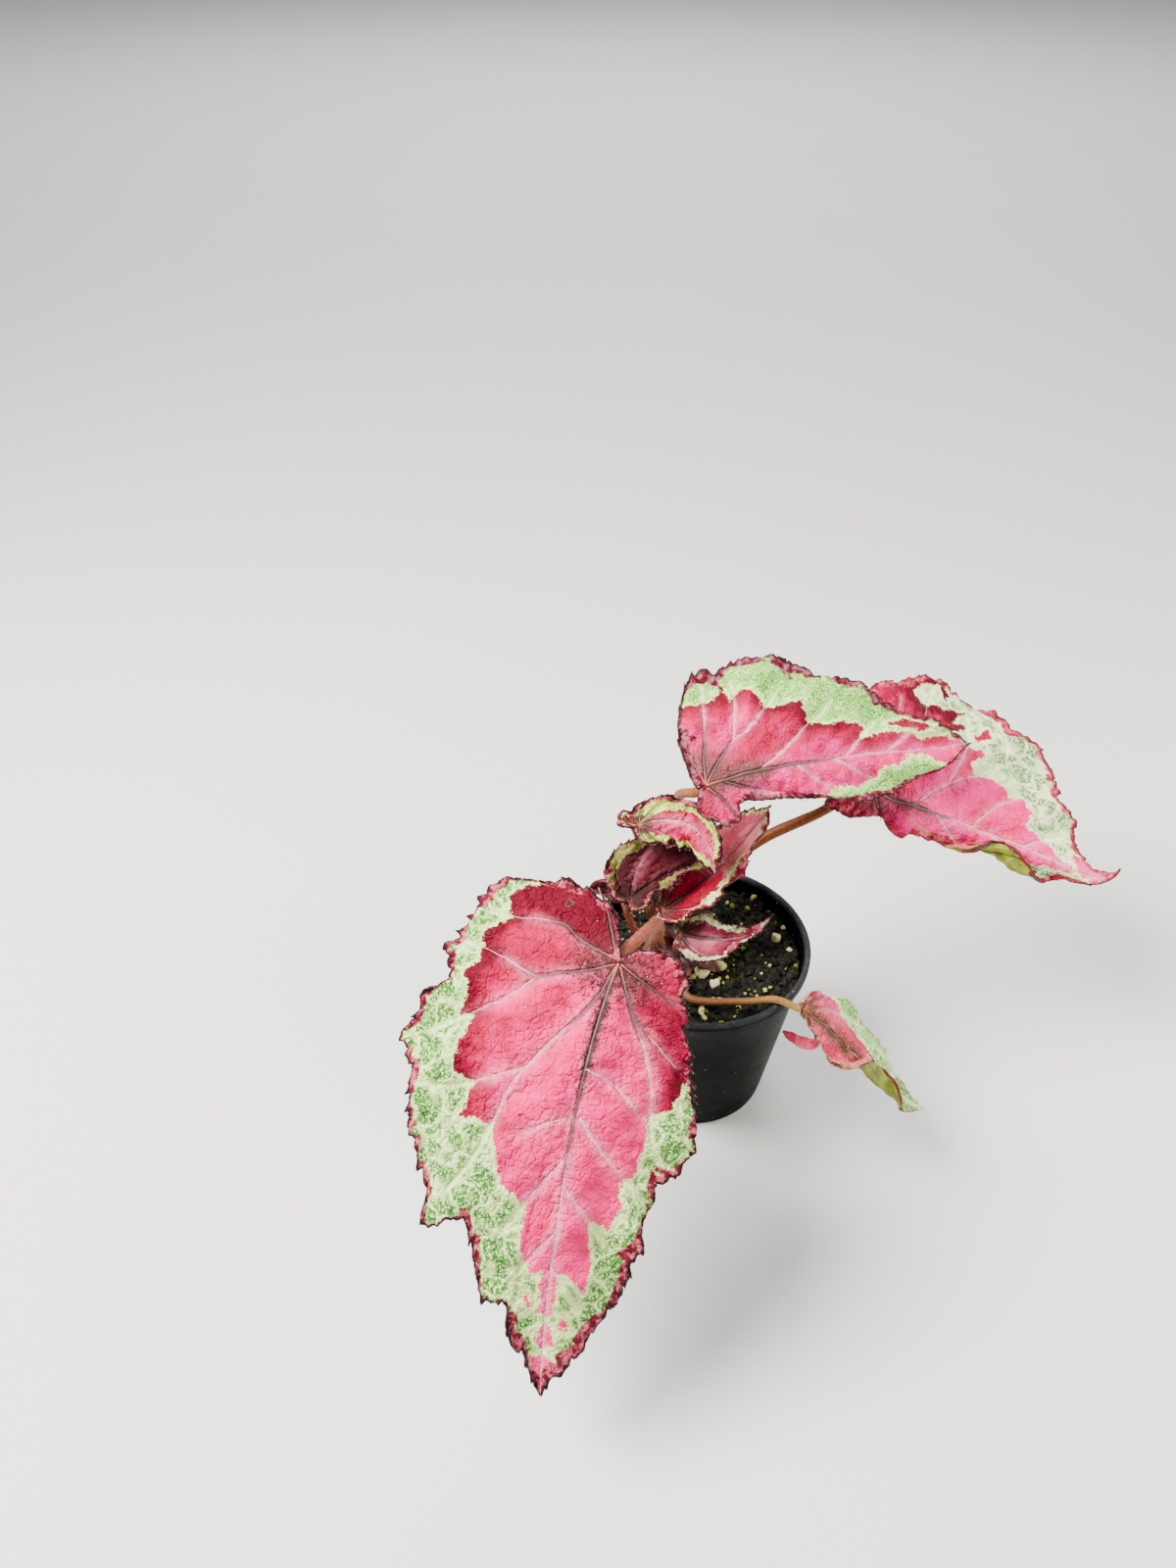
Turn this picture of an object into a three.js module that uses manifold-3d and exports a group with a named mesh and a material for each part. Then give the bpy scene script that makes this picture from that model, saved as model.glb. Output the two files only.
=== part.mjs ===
// A rex begonia in a round nursery pot, in millimetres, +Z up.
// The origin is the centre of the pot's flat base. The largest leaf hangs over the rim toward -Y.
import * as THREE from "three";
import { mergeVertices } from "three/addons/utils/BufferGeometryUtils.js";
import Module from "manifold-3d";

// ---- driving dimensions -------------------------------------------------------------------
const RIM_RADIUS = 50;
const BASE_RADIUS = 35.5;
const POT_HEIGHT = 90;
const WALL = 1.2;
const FLOOR = 1.6;
const LIP = 1.3; // how far the rolled rim stands out from the wall
const LIP_HEIGHT = 4;
const SHOULDER = 66; // height of the small inner step under the rim
const HOLE_RADIUS = 4.2;
const HOLE_CIRCLE = 25;
const HOLES = 6;
const SOIL_LEVEL = 81;
const GAP = 0.3; // clearance between neighbouring pieces
const BLADE = 0.8; // thickness of a leaf blade

// ---- leaves -------------------------------------------------------------------------------
// rib: Bezier points of the midrib, from the petiole to the tip.
// faces: the way the upper surface looks at the petiole and at the tip.
// right, left: how each half lifts off the midrib (deg) and bends on (deg per 100 mm).
// outline: [angle from the midrib, reach from the petiole], right half, then left half.
// rolls: a margin that turns over: side, place along the midrib, half width, start, angle, over.
const LEAVES = {
  front: {
    rib: [[-40, -80, 162], [-57, -122.5, 149.5], [-65, -159, 100], [-68.5, -180.5, 42]],
    faces: [[0, -0.5, 0.86], [0, -0.85, 0.5]],
    right: [-4, -25],
    left: [-12, -25],
    outlineRight: [[160, 12], [154, 22], [139, 34], [129, 41], [115, 53], [100, 60], [86, 63],
      [77, 68], [70, 63], [62, 76], [54, 88], [47, 88], [36, 100], [26, 112], [23, 121],
      [18, 113], [12, 127], [7.5, 132], [4, 146]],
    outlineLeft: [[130, 17], [105, 28], [88, 28], [71, 34], [52, 48], [45, 58], [38, 74],
      [32, 87], [25, 91], [18, 107], [13, 122], [10, 139], [5, 151]],
    rolls: [],
    ruffle: [1.6, 11],
    spokes: 80,
    rings: 6,
  },
  upper: {
    rib: [[-2, 8, 174], [33, 18.5, 182.5], [81, 29.5, 172], [121, 51.5, 164]],
    faces: [[-0.05, -0.4, 0.9], [0.1, -0.45, 0.88]],
    right: [-22, -100],
    left: [4, -22],
    outlineRight: [[125, 12], [88, 17], [62, 22], [46, 20], [34, 20], [28, 27], [20, 40],
      [17, 55], [15, 72], [11, 90], [6, 108]],
    outlineLeft: [[165, 4], [115, 11], [97, 23], [86, 34], [79, 46], [72, 53], [64, 58],
      [58, 56], [53, 63], [45, 72], [36, 80], [29, 85], [22, 91], [14, 100], [8, 112]],
    rolls: [],
    ruffle: [1.8, 10],
    spokes: 68,
    rings: 5,
  },
  right: {
    rib: [[76, 30, 152], [110, 22, 142], [148, 34, 112], [189, 8, 124]],
    faces: [[0.1, -0.35, 0.92], [0.35, -0.45, 0.85]],
    right: [-45, -80],
    left: [4, -25],
    outlineRight: [[140, 9], [90, 9], [55, 12], [35, 17], [20, 30], [12, 52], [8, 75], [5, 97]],
    outlineLeft: [[165, 8], [140, 24], [105, 54], [90, 68], [79, 76], [68, 86], [61, 90],
      [55, 88], [50, 92], [43, 90], [37, 98], [29, 101], [20, 97], [14, 100], [8, 102],
      [3, 108]],
    rolls: [[1, 0.62, 0.22, 4, 150, 7]],
    ruffle: [1.6, 11],
    spokes: 68,
    rings: 5,
  },
  curled: {
    rib: [[-29, 10.5, 150], [-16, 9, 158], [1, 9, 156], [3.4, -5.3, 135]],
    faces: [[0, -0.4, 0.9], [0.25, -0.75, 0.6]],
    right: [-35, -40],
    left: [6, -60],
    outlineRight: [[160, 6], [120, 9], [85, 12], [55, 15], [32, 21], [18, 29], [8, 37]],
    outlineLeft: [[165, 9], [140, 12.5], [118, 10], [100, 7], [88, 9], [72, 10], [52, 13], [36, 18],
      [22, 27], [10, 38]],
    rolls: [[-1, -0.1, 0.4, 5, 70, 8]],
    ruffle: [1.3, 9],
    spokes: 44,
    rings: 4,
  },
  shaded: {
    rib: [[-31.5, 9, 107], [-25, 8, 118], [-12, 8, 128], [1, 8.5, 129.5]],
    faces: [[-0.1, -0.75, 0.65], [-0.1, -0.6, 0.75]],
    right: [50, 60],
    left: [10, 0],
    outlineRight: [[150, 4], [110, 6], [80, 8], [50, 11], [25, 18], [12, 28]],
    outlineLeft: [[160, 4], [130, 7], [105, 10], [85, 15], [65, 20], [45, 25], [28, 28],
      [14, 34]],
    rolls: [],
    ruffle: [1, 8],
    spokes: 40,
    rings: 4,
  },
  upright: {
    rib: [[-18, 2, 107], [-6, 6, 112], [14, 14, 126], [30, 24.4, 150]],
    faces: [[-0.35, -0.5, 0.8], [-0.4, -0.5, 0.75]],
    right: [25, 30],
    left: [35, 20],
    outlineRight: [[150, 5], [100, 8], [65, 12], [45, 16], [30, 24], [18, 38], [8, 56]],
    outlineLeft: [[150, 3], [100, 5], [65, 8], [45, 13], [30, 24], [18, 41], [8, 57]],
    rolls: [],
    ruffle: [1, 8],
    spokes: 44,
    rings: 4,
  },
  low: {
    rib: [[-9.5, 0.2, 93.6], [2, -7, 99], [18, -9, 92], [34, 10, 96]],
    faces: [[-0.1, -0.45, 0.88], [-0.2, -0.35, 0.9]],
    right: [10, -20],
    left: [20, 20],
    outlineRight: [[150, 3], [90, 7], [60, 12], [42, 18], [26, 24], [12, 28], [4, 38]],
    outlineLeft: [[150, 3], [90, 7], [55, 12], [36, 20], [26, 21], [14, 27], [4, 40]],
    rolls: [],
    ruffle: [0.8, 7],
    spokes: 36,
    rings: 4,
  },
  trailing: {
    rib: [[39.7, -41, 91.7], [51.5, -48, 87.5], [72, -54, 58], [99.4, -52, 35]],
    faces: [[0.2, -0.5, 0.85], [0.2, -0.55, 0.8]],
    right: [10, 0],
    left: [-25, -60],
    outlineRight: [[150, 2], [95, 2.5], [60, 4], [45, 6], [30, 10], [22, 19], [17, 34],
      [15, 48], [11, 60], [5, 72]],
    outlineLeft: [[150, 3], [100, 6], [70, 13], [48, 22], [33, 38], [24, 51], [16, 58],
      [10, 67]],
    rolls: [[1, 0.62, 0.3, 3, 160, 6], [-1, 0.95, 0.12, 2, 140, 4]],
    ruffle: [0.8, 6],
    spokes: 44,
    rings: 6,
  },
  young: {
    rib: [[-40, 24, 97], [-43.5, 24.5, 100], [-48, 25, 100], [-51, 24, 97]],
    faces: [[0, -0.6, 0.8], [0, -0.6, 0.8]],
    right: [30, 200],
    left: [30, 200],
    outlineRight: [[150, 2], [90, 4], [55, 6], [30, 8], [12, 10]],
    outlineLeft: [[150, 2], [90, 4], [55, 6], [30, 8], [12, 10]],
    rolls: [],
    ruffle: [0.4, 5],
    spokes: 22,
    rings: 3,
  },
};
const TOOTH = 1.1; // how far a tooth of the margin stands out
const TOOTH_PITCH = 5; // distance between teeth of a large leaf

// The back lobe of the withered leaf: a narrow ear that grows from its blade at EAR_ROOT
// ([a, b] on the blade) and reaches back under the stalk.
const EAR_ROOT = [20, 3];
const EAR = [[47, -43, 69.5], [40, -40, 69.5], [34.8, -37.2, 71.5]];
const EAR_WIDTH = 6;

// ---- petioles -------------------------------------------------------------------------------
// points: from the crown up; approach: how far before the blade the stalk lies along it;
// drop: how far under the midrib it runs; radii: at the crown and at the blade.
const PETIOLES = {
  front: { points: [[-20, -7, 78], [-21, -15, 104], [-23, -38, 138], [-27, -58, 158]],
    approach: 7, drop: 1.6, radii: [3.1, 2.2] },
  upper: { points: [[-11, 13, 78], [-14, 28, 105], [-13, 37, 132], [-11, 27, 153]],
    approach: 4, drop: 0.5, radii: [2.9, 2.0] },
  right: { points: [[-1, 11, 78], [7, 26, 101], [28, 38, 116], [55, 39, 133]],
    approach: 6, drop: 1.8, radii: [3.1, 2.2] },
  curled: { points: [[-20, 14, 78], [-23, 27, 98], [-28, 34, 122], [-33, 24, 141]],
    approach: 3, drop: 0.9, radii: [2.1, 1.4] },
  shaded: { points: [[-22, 3, 78], [-28, 6, 88], [-33, 10.5, 97]],
    approach: 3, drop: 0.9, radii: [1.9, 1.3] },
  upright: { points: [[-12, 4, 78], [-15, 2, 90], [-22, 0, 98]],
    approach: 3, drop: 0.6, radii: [2.3, 1.6] },
  low: { points: [[-4, 3, 78], [-5, 0, 85], [-10, 2, 89]],
    approach: 2, drop: 0.7, radii: [1.6, 1.1] },
  trailing: { points: [[-5, -7, 78], [-9, -18, 85], [-6, -30.5, 85], [16, -34.5, 87.8],
    [31, -37.5, 93]], approach: 3, drop: 1.6, radii: [1.9, 1.5] },
  young: { points: [[-28, 9, 78], [-32, 17, 86], [-36, 26, 91]],
    approach: 2, drop: 0.8, radii: [1.4, 1.0] },
};

// The rhizome: knobs that grow into each other, [x, y, z, radius].
const KNOBS = [[-21, 8, 80, 9], [-11, 7, 81, 9.5], [-3, 6, 80, 8.5], [-15, -3, 80, 8],
  [-5, -5, 79, 7], [-27, 8, 79, 6]];
const STIPULES = [[-1, -3, 40, 300], [3, 2, 30, 20], [-16, -6, 35, 240], [-7, -8, 30, 285],
  [1, 9, 25, 60]]; // x, y, lean and turn (deg)

// ---- materials ------------------------------------------------------------------------------
function paint(colour, roughness) {
  return new THREE.MeshStandardMaterial({ color: colour, roughness, metalness: 0 });
}
const BLACK_PLASTIC = paint(0x1c1f22, 0.45);
const SOIL = paint(0x1d1a15, 0.95);
const CROWN_SKIN = paint(0x6b2a1c, 0.7);
const STALK = paint(0xa05a30, 0.55);
const PINK_BLADE = paint(0xd8506c, 0.55);
const DUSKY_BLADE = paint(0x8f4458, 0.6);
const CRIMSON_BLADE = paint(0xb81f3c, 0.55);
const YOUNG_BLADE = paint(0x54161e, 0.7);

// ---- helpers --------------------------------------------------------------------------------
const wasm = await Module();
wasm.setup();

const rad = THREE.MathUtils.degToRad;
const vec = (p) => new THREE.Vector3(p[0], p[1], p[2]);

// Seeded random numbers from 0 to 1.
function randomSource(seed) {
  let state = seed;
  return () => {
    state = (Math.imul(state, 1664525) + 1013904223) >>> 0;
    return state / 4294967296;
  };
}

function solidOf(geometry) {
  const g = geometry.clone();
  g.deleteAttribute("normal");
  g.deleteAttribute("uv");
  const merged = mergeVertices(g, 1e-4);
  return new wasm.Manifold(new wasm.Mesh({
    numProp: 3,
    vertProperties: new Float32Array(merged.attributes.position.array),
    triVerts: new Uint32Array(merged.index.array),
  }));
}

function geometryOf(solid) {
  const mesh = solid.getMesh();
  const positions = new Float32Array((mesh.vertProperties.length / mesh.numProp) * 3);
  for (let i = 0; i < positions.length / 3; i++) {
    for (let k = 0; k < 3; k++) {
      positions[3 * i + k] = mesh.vertProperties[mesh.numProp * i + k];
    }
  }
  const g = new THREE.BufferGeometry();
  g.setAttribute("position", new THREE.BufferAttribute(positions, 3));
  g.setIndex(new THREE.BufferAttribute(new Uint32Array(mesh.triVerts), 1));
  g.computeVertexNormals();
  return g;
}

// The largest piece of a solid: a cut can leave small scraps.
function largest(solid) {
  let best = null;
  for (const piece of solid.decompose()) {
    if (best === null || piece.volume() > best.volume()) best = piece;
  }
  return best;
}

// ---- leaf blades ----------------------------------------------------------------------------
const STEPS = 14; // short straight steps that a half of the blade bends in

// The point of the blade's middle surface at a along the midrib and b across it.
function surfacePoint(leaf, a, b) {
  const t = THREE.MathUtils.clamp(a / leaf.length, 0, 1);
  const point = leaf.curve.getPoint(t);
  const tangent = leaf.curve.getTangent(t);
  point.addScaledVector(tangent, a - t * leaf.length);
  const up = vec(leaf.faces[0]).normalize().lerp(vec(leaf.faces[1]).normalize(), t);
  up.addScaledVector(tangent, -up.dot(tangent)).normalize();
  const side = new THREE.Vector3().crossVectors(tangent, up);
  const sign = b > 0 ? 1 : -1;
  const [lift, bend] = b > 0 ? leaf.right : leaf.left;
  const step = Math.abs(b) / STEPS;
  for (let i = 0; i < STEPS; i++) {
    const across = (i + 0.5) * step;
    let angle = lift + (bend * across) / 100;
    for (const [rollSide, at, half, start, turn, over] of leaf.rolls) {
      if (rollSide !== sign) continue;
      const place = Math.max(0, 1 - ((a / leaf.length - at) / half) ** 2) ** 1.5;
      angle += place * turn * THREE.MathUtils.clamp((across - start) / over, 0, 1);
    }
    point.addScaledVector(side, sign * step * Math.cos(rad(angle)));
    point.addScaledVector(up, step * Math.sin(rad(angle)));
  }
  return point;
}

// The flat outline: a smooth closed line through the sinus, the right half, the tip and the
// left half, with its small teeth, as evenly spaced [a, b] points.
function flatOutline(leaf) {
  const polar = ([angle, reach], sign) => new THREE.Vector3(
    reach * Math.cos(rad(angle)), sign * reach * Math.sin(rad(angle)), 0);
  const halves = [
    [[180, 3], ...leaf.outlineRight].map((p) => polar(p, 1)),
    [[180, 3], ...leaf.outlineLeft].map((p) => polar(p, -1)),
  ];
  const tip = new THREE.Vector3(leaf.length, 0, 0);
  const lines = halves.map((h) => new THREE.CatmullRomCurve3([...h, tip], false, "catmullrom"));
  const lengths = lines.map((l) => l.getLength());
  const total = lengths[0] + lengths[1];
  const rightCount = Math.round((leaf.spokes * lengths[0]) / total);
  const leftCount = leaf.spokes - rightCount;
  const points = [];
  for (let i = 0; i < rightCount; i++) points.push(lines[0].getPointAt(i / rightCount));
  for (let i = 0; i < leftCount; i++) points.push(lines[1].getPointAt(1 - i / leftCount));
  const tooth = Math.min(TOOTH, total / 200);
  return points.map((p, i) => {
    const out = p.length() > 12 ? (i % 2 === 0 ? tooth : -tooth) : 0;
    return p.setLength(p.length() + (i === rightCount ? 0 : out));
  });
}

// How far the margin waves up and down, at part s of the way round and part f of the way out.
function ruffleHeight(leaf, s, f) {
  const [height, waves] = leaf.ruffle;
  return height * f ** 4 * Math.sin(2 * Math.PI * waves * s + 1);
}

// A closed thin blade: a fan of rings round the petiole, alike on both faces.
function bladeGeometry(leaf, thickness) {
  const outline = flatOutline(leaf);
  const n = outline.length;
  const rows = [0];
  for (let k = 1; k <= leaf.rings; k++) rows.push((k / leaf.rings) ** 0.8);
  const top = [];
  const bottom = [];
  const D = 0.4;
  const at = (i, f) => {
    const a = outline[i].x * f;
    const b = outline[i].y * f;
    return surfacePoint(leaf, a, b);
  };
  const place = (i, f) => {
    const a = outline[i].x * f;
    const b = outline[i].y * f;
    const here = at(i, f);
    const da = surfacePoint(leaf, a + D, b).sub(surfacePoint(leaf, a - D, b));
    const db = surfacePoint(leaf, a, b + D).sub(surfacePoint(leaf, a, b - D));
    const normal = da.cross(db).normalize();
    here.addScaledVector(normal, ruffleHeight(leaf, i / n, f));
    top.push(here.clone().addScaledVector(normal, thickness / 2));
    bottom.push(here.clone().addScaledVector(normal, -thickness / 2));
  };
  place(0, 0);
  for (let k = 1; k < rows.length; k++) for (let i = 0; i < n; i++) place(i, rows[k]);
  const index = [];
  const id = (k, i) => (k === 0 ? 0 : 1 + (k - 1) * n + (i % n));
  const shift = top.length;
  const face = (a, b, c) => index.push(a, b, c, shift + a, shift + c, shift + b);
  for (let i = 0; i < n; i++) {
    face(0, id(1, i + 1), id(1, i));
    for (let k = 1; k < rows.length - 1; k++) {
      face(id(k, i), id(k, i + 1), id(k + 1, i + 1));
      face(id(k, i), id(k + 1, i + 1), id(k + 1, i));
    }
    const edge = id(rows.length - 1, i);
    const next = id(rows.length - 1, i + 1);
    index.push(edge, next, shift + next, edge, shift + next, shift + edge);
  }
  const g = new THREE.BufferGeometry();
  g.setAttribute("position", new THREE.Float32BufferAttribute(
    [...top, ...bottom].flatMap((p) => [p.x, p.y, p.z]), 3));
  g.setIndex(index);
  g.computeVertexNormals();
  return g;
}

function prepare(leaf) {
  leaf.curve = new THREE.CubicBezierCurve3(...leaf.rib.map(vec));
  leaf.length = leaf.curve.getLength();
}

// ---- petioles -------------------------------------------------------------------------------
const SIDES = 7;

// A tapered round stalk through points: rings of a circle square to the curve. With extra it
// is fatter, and starts lower, for cutting the hole that the stalk stands in.
function stalkGeometry(points, radii, extra) {
  const curve = new THREE.CatmullRomCurve3(points.map(vec), false, "catmullrom");
  const steps = Math.max(6, Math.min(11, Math.round(curve.getLength() / 12)));
  const frames = curve.computeFrenetFrames(steps, false);
  const positions = [];
  const index = [];
  for (let k = 0; k <= steps; k++) {
    const centre = curve.getPointAt(k / steps);
    if (k === 0) centre.addScaledVector(curve.getTangentAt(0), -2 * extra);
    const r = radii[0] + ((radii[1] - radii[0]) * k) / steps + extra;
    for (let i = 0; i < SIDES; i++) {
      const angle = (2 * Math.PI * i) / SIDES;
      const p = centre.clone();
      p.addScaledVector(frames.normals[k], r * Math.cos(angle));
      p.addScaledVector(frames.binormals[k], r * Math.sin(angle));
      positions.push(p.x, p.y, p.z);
    }
  }
  for (let k = 0; k < steps; k++) {
    for (let i = 0; i < SIDES; i++) {
      const a = k * SIDES + i;
      const b = k * SIDES + ((i + 1) % SIDES);
      index.push(a, b, b + SIDES, a, b + SIDES, a + SIDES);
    }
  }
  for (let i = 1; i < SIDES - 1; i++) {
    index.push(0, i + 1, i);
    const end = steps * SIDES;
    index.push(end, end + i, end + i + 1);
  }
  const g = new THREE.BufferGeometry();
  g.setAttribute("position", new THREE.Float32BufferAttribute(positions, 3));
  g.setIndex(index);
  g.computeVertexNormals();
  return g;
}

// The end of a stalk: it runs along under the midrib, just clear of the blade.
function seat(leaf, { approach, drop, radii }) {
  const tangent = leaf.curve.getTangent(0);
  const up = vec(leaf.faces[0]);
  up.addScaledVector(tangent, -up.dot(tangent)).normalize();
  const depth = BLADE / 2 + radii[1] + drop;
  return [-approach, 2.5].map((a) => {
    const p = surfacePoint(leaf, a, 0).addScaledVector(up, -depth);
    return [p.x, p.y, p.z];
  });
}

// ---- build ----------------------------------------------------------------------------------
const plant = new THREE.Group();
function add(name, geometry, material) {
  const mesh = new THREE.Mesh(geometry, material);
  mesh.name = name;
  plant.add(mesh);
}

// The pot: one turned profile, closed on itself at the axis, with round drain holes.
function wallRadius(z) {
  return BASE_RADIUS + ((RIM_RADIUS - LIP - BASE_RADIUS) * z) / POT_HEIGHT;
}
const profile = [
  [0, 0], [BASE_RADIUS - 1.6, 0], [BASE_RADIUS, 2],
  [wallRadius(POT_HEIGHT - LIP_HEIGHT - 0.8), POT_HEIGHT - LIP_HEIGHT - 0.8],
  [RIM_RADIUS - 0.1, POT_HEIGHT - LIP_HEIGHT],
  [RIM_RADIUS, POT_HEIGHT - 0.9], [RIM_RADIUS - 0.7, POT_HEIGHT],
  [RIM_RADIUS - 2.0, POT_HEIGHT], [wallRadius(POT_HEIGHT - 1.5) - WALL, POT_HEIGHT - 1.5],
  [wallRadius(SHOULDER) - WALL, SHOULDER],
  [wallRadius(FLOOR + 2) - WALL, FLOOR + 2], [BASE_RADIUS - 3.4, FLOOR], [0, FLOOR],
].map(([r, z]) => new THREE.Vector2(r, z));
let pot = solidOf(new THREE.LatheGeometry(profile, 44).rotateX(Math.PI / 2));
for (let i = 0; i < HOLES; i++) {
  const angle = (2 * Math.PI * (i + 0.5)) / HOLES;
  const hole = new THREE.CylinderGeometry(HOLE_RADIUS, HOLE_RADIUS, 10, 12).rotateX(Math.PI / 2);
  hole.translate(HOLE_CIRCLE * Math.cos(angle), HOLE_CIRCLE * Math.sin(angle), 0);
  pot = pot.subtract(solidOf(hole));
}

// The leaves and their stalks.
const blades = {};
for (const [name, leaf] of Object.entries(LEAVES)) {
  prepare(leaf);
  blades[name] = solidOf(bladeGeometry(leaf, BLADE));
}

// The back lobe of the withered leaf, a narrow flat strip sunk into the blade at one end.
const earRoot = surfacePoint(LEAVES.trailing, ...EAR_ROOT);
const earCurve = new THREE.CatmullRomCurve3([earRoot, ...EAR.map(vec)], false, "catmullrom");
const earShape = new THREE.Shape();
earShape.absellipse(0, 0, EAR_WIDTH / 2, BLADE / 2 + 0.2, 0, 2 * Math.PI);
const ear = new THREE.ExtrudeGeometry(earShape, {
  steps: 8, extrudePath: earCurve, curveSegments: 5, bevelEnabled: false });
blades.trailing = blades.trailing.add(solidOf(ear));

const stalks = {};
for (const [name, petiole] of Object.entries(PETIOLES)) {
  petiole.points.push(...seat(LEAVES[name], petiole));
  stalks[name] = solidOf(stalkGeometry(petiole.points, petiole.radii, 0));
}

// The rhizome with its stipules, hollowed where each stalk stands.
let crown = null;
for (const [x, y, z, r] of KNOBS) {
  const knob = new THREE.IcosahedronGeometry(r, 1).scale(1, 1, 0.75).translate(x, y, z);
  crown = crown === null ? solidOf(knob) : crown.add(solidOf(knob));
}
for (const [x, y, lean, turn] of STIPULES) {
  const scale = new THREE.ConeGeometry(3.2, 15, 6).scale(1, 1, 0.4).translate(0, 5.5, 0);
  scale.rotateX(Math.PI / 2).rotateX(rad(-lean)).rotateZ(rad(turn + 90));
  scale.translate(x, y, 82);
  crown = crown.add(solidOf(scale));
}

// The soil: a full plug of mix with an uneven top and grains sunk in it.
const random = randomSource(7);
function soilHeight(x, y) {
  const r = Math.hypot(x, y);
  const lumps = 0.9 * Math.sin(0.31 * x + 1.3) * Math.cos(0.27 * y + 0.4)
    + 0.5 * Math.sin(0.9 * x - 0.7 * y) + 0.4 * Math.cos(0.8 * x + 1.1 * y);
  return SOIL_LEVEL + lumps - 1.2 * (r / 47) ** 6;
}
const SOIL_RINGS = 6;
const SOIL_STEPS = 36;
const soilPositions = [];
const soilRadius = (z) => wallRadius(z) - WALL - GAP - 0.25;
for (let k = 1; k <= SOIL_RINGS; k++) {
  for (let i = 0; i < SOIL_STEPS; i++) {
    const angle = (2 * Math.PI * (i + (k % 2) / 2)) / SOIL_STEPS;
    const r = (soilRadius(SOIL_LEVEL - 1) * k) / SOIL_RINGS;
    const x = r * Math.cos(angle);
    const y = r * Math.sin(angle);
    soilPositions.push(x, y, soilHeight(x, y));
  }
}
const soilBottom = [[soilRadius(SHOULDER), SHOULDER], [soilRadius(5), 5],
  [soilRadius(2) - 3.4, FLOOR + GAP]];
for (const [r, z] of soilBottom) {
  for (let i = 0; i < SOIL_STEPS; i++) {
    const angle = (2 * Math.PI * (i + (SOIL_RINGS % 2) / 2)) / SOIL_STEPS;
    soilPositions.push(r * Math.cos(angle), r * Math.sin(angle), z);
  }
}
const soilTop = soilPositions.length / 3;
soilPositions.push(0, 0, soilHeight(0, 0), 0, 0, FLOOR + GAP);
const soilIndex = [];
const soilRows = SOIL_RINGS + soilBottom.length;
for (let i = 0; i < SOIL_STEPS; i++) {
  const j = (i + 1) % SOIL_STEPS;
  soilIndex.push(soilTop, i, j);
  for (let k = 0; k < soilRows - 1; k++) {
    const a = k * SOIL_STEPS;
    const b = (k + 1) * SOIL_STEPS;
    soilIndex.push(a + i, b + i, b + j, a + i, b + j, a + j);
  }
  const last = (soilRows - 1) * SOIL_STEPS;
  soilIndex.push(last + i, soilTop + 1, last + j);
}
const soilGeometry = new THREE.BufferGeometry();
soilGeometry.setAttribute("position", new THREE.Float32BufferAttribute(soilPositions, 3));
soilGeometry.setIndex(soilIndex);
let soil = solidOf(soilGeometry);

// Pumice and perlite grains: a few large ones right of the crown, the rest scattered.
const GRAINS = [[7.5, -4, 2.9], [14.5, -2.5, 2.6], [8, -16, 2.7], [33, 14, 2.1]];
for (let i = 0; i < 20; i++) {
  const angle = 2 * Math.PI * random();
  const r = 43 * Math.sqrt(random());
  GRAINS.push([r * Math.cos(angle), r * Math.sin(angle), 1 + 1.1 * random()]);
}
for (const [x, y, r] of GRAINS) {
  const grain = new THREE.IcosahedronGeometry(r, 0).scale(1, 0.8, 0.75);
  grain.rotateZ(6 * random()).translate(x, y, soilHeight(x, y) + 0.2 * r);
  soil = soil.add(solidOf(grain));
}

// Room round the crown and the stalks.
let room = null;
for (const [x, y, z, r] of KNOBS) {
  const knob = new THREE.IcosahedronGeometry(r + 0.7, 1).scale(1, 1, 0.78).translate(x, y, z);
  room = room === null ? solidOf(knob) : room.add(solidOf(knob));
}
soil = soil.subtract(room).subtract(crown);
for (const { points, radii } of Object.values(PETIOLES)) {
  const fat = solidOf(stalkGeometry(points, radii, GAP));
  crown = crown.subtract(fat);
  soil = soil.subtract(fat);
}
crown = largest(crown);
soil = largest(soil);

add("pot", geometryOf(pot), BLACK_PLASTIC);
add("soil", geometryOf(soil), SOIL);
add("crown", geometryOf(crown), CROWN_SKIN);
const BLADE_PAINT = { curled: PINK_BLADE, shaded: DUSKY_BLADE, upright: CRIMSON_BLADE,
  low: DUSKY_BLADE, young: YOUNG_BLADE };
for (const name of Object.keys(LEAVES)) {
  add(name + "_leaf", geometryOf(blades[name]), BLADE_PAINT[name] ?? PINK_BLADE);
  add(name + "_petiole", geometryOf(stalks[name]), STALK);
}

export default plant;
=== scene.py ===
# %% [markdown]
# # A potted rex begonia
# A rex begonia is grown for its leaves: each one a lopsided heart on a hairy stalk, pink in
# the middle, silver-green round it and maroon at the toothed edge. The stalks rise from a
# knobbly creeping stem in a small black nursery pot.
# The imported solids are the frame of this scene. They fix where every piece is and how large,
# so all that is made below is laid on them, in metres, with no fitting.

# %% The frame
import math

import bmesh
import bpy
import numpy as np
from mathutils import Matrix, Vector


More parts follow.
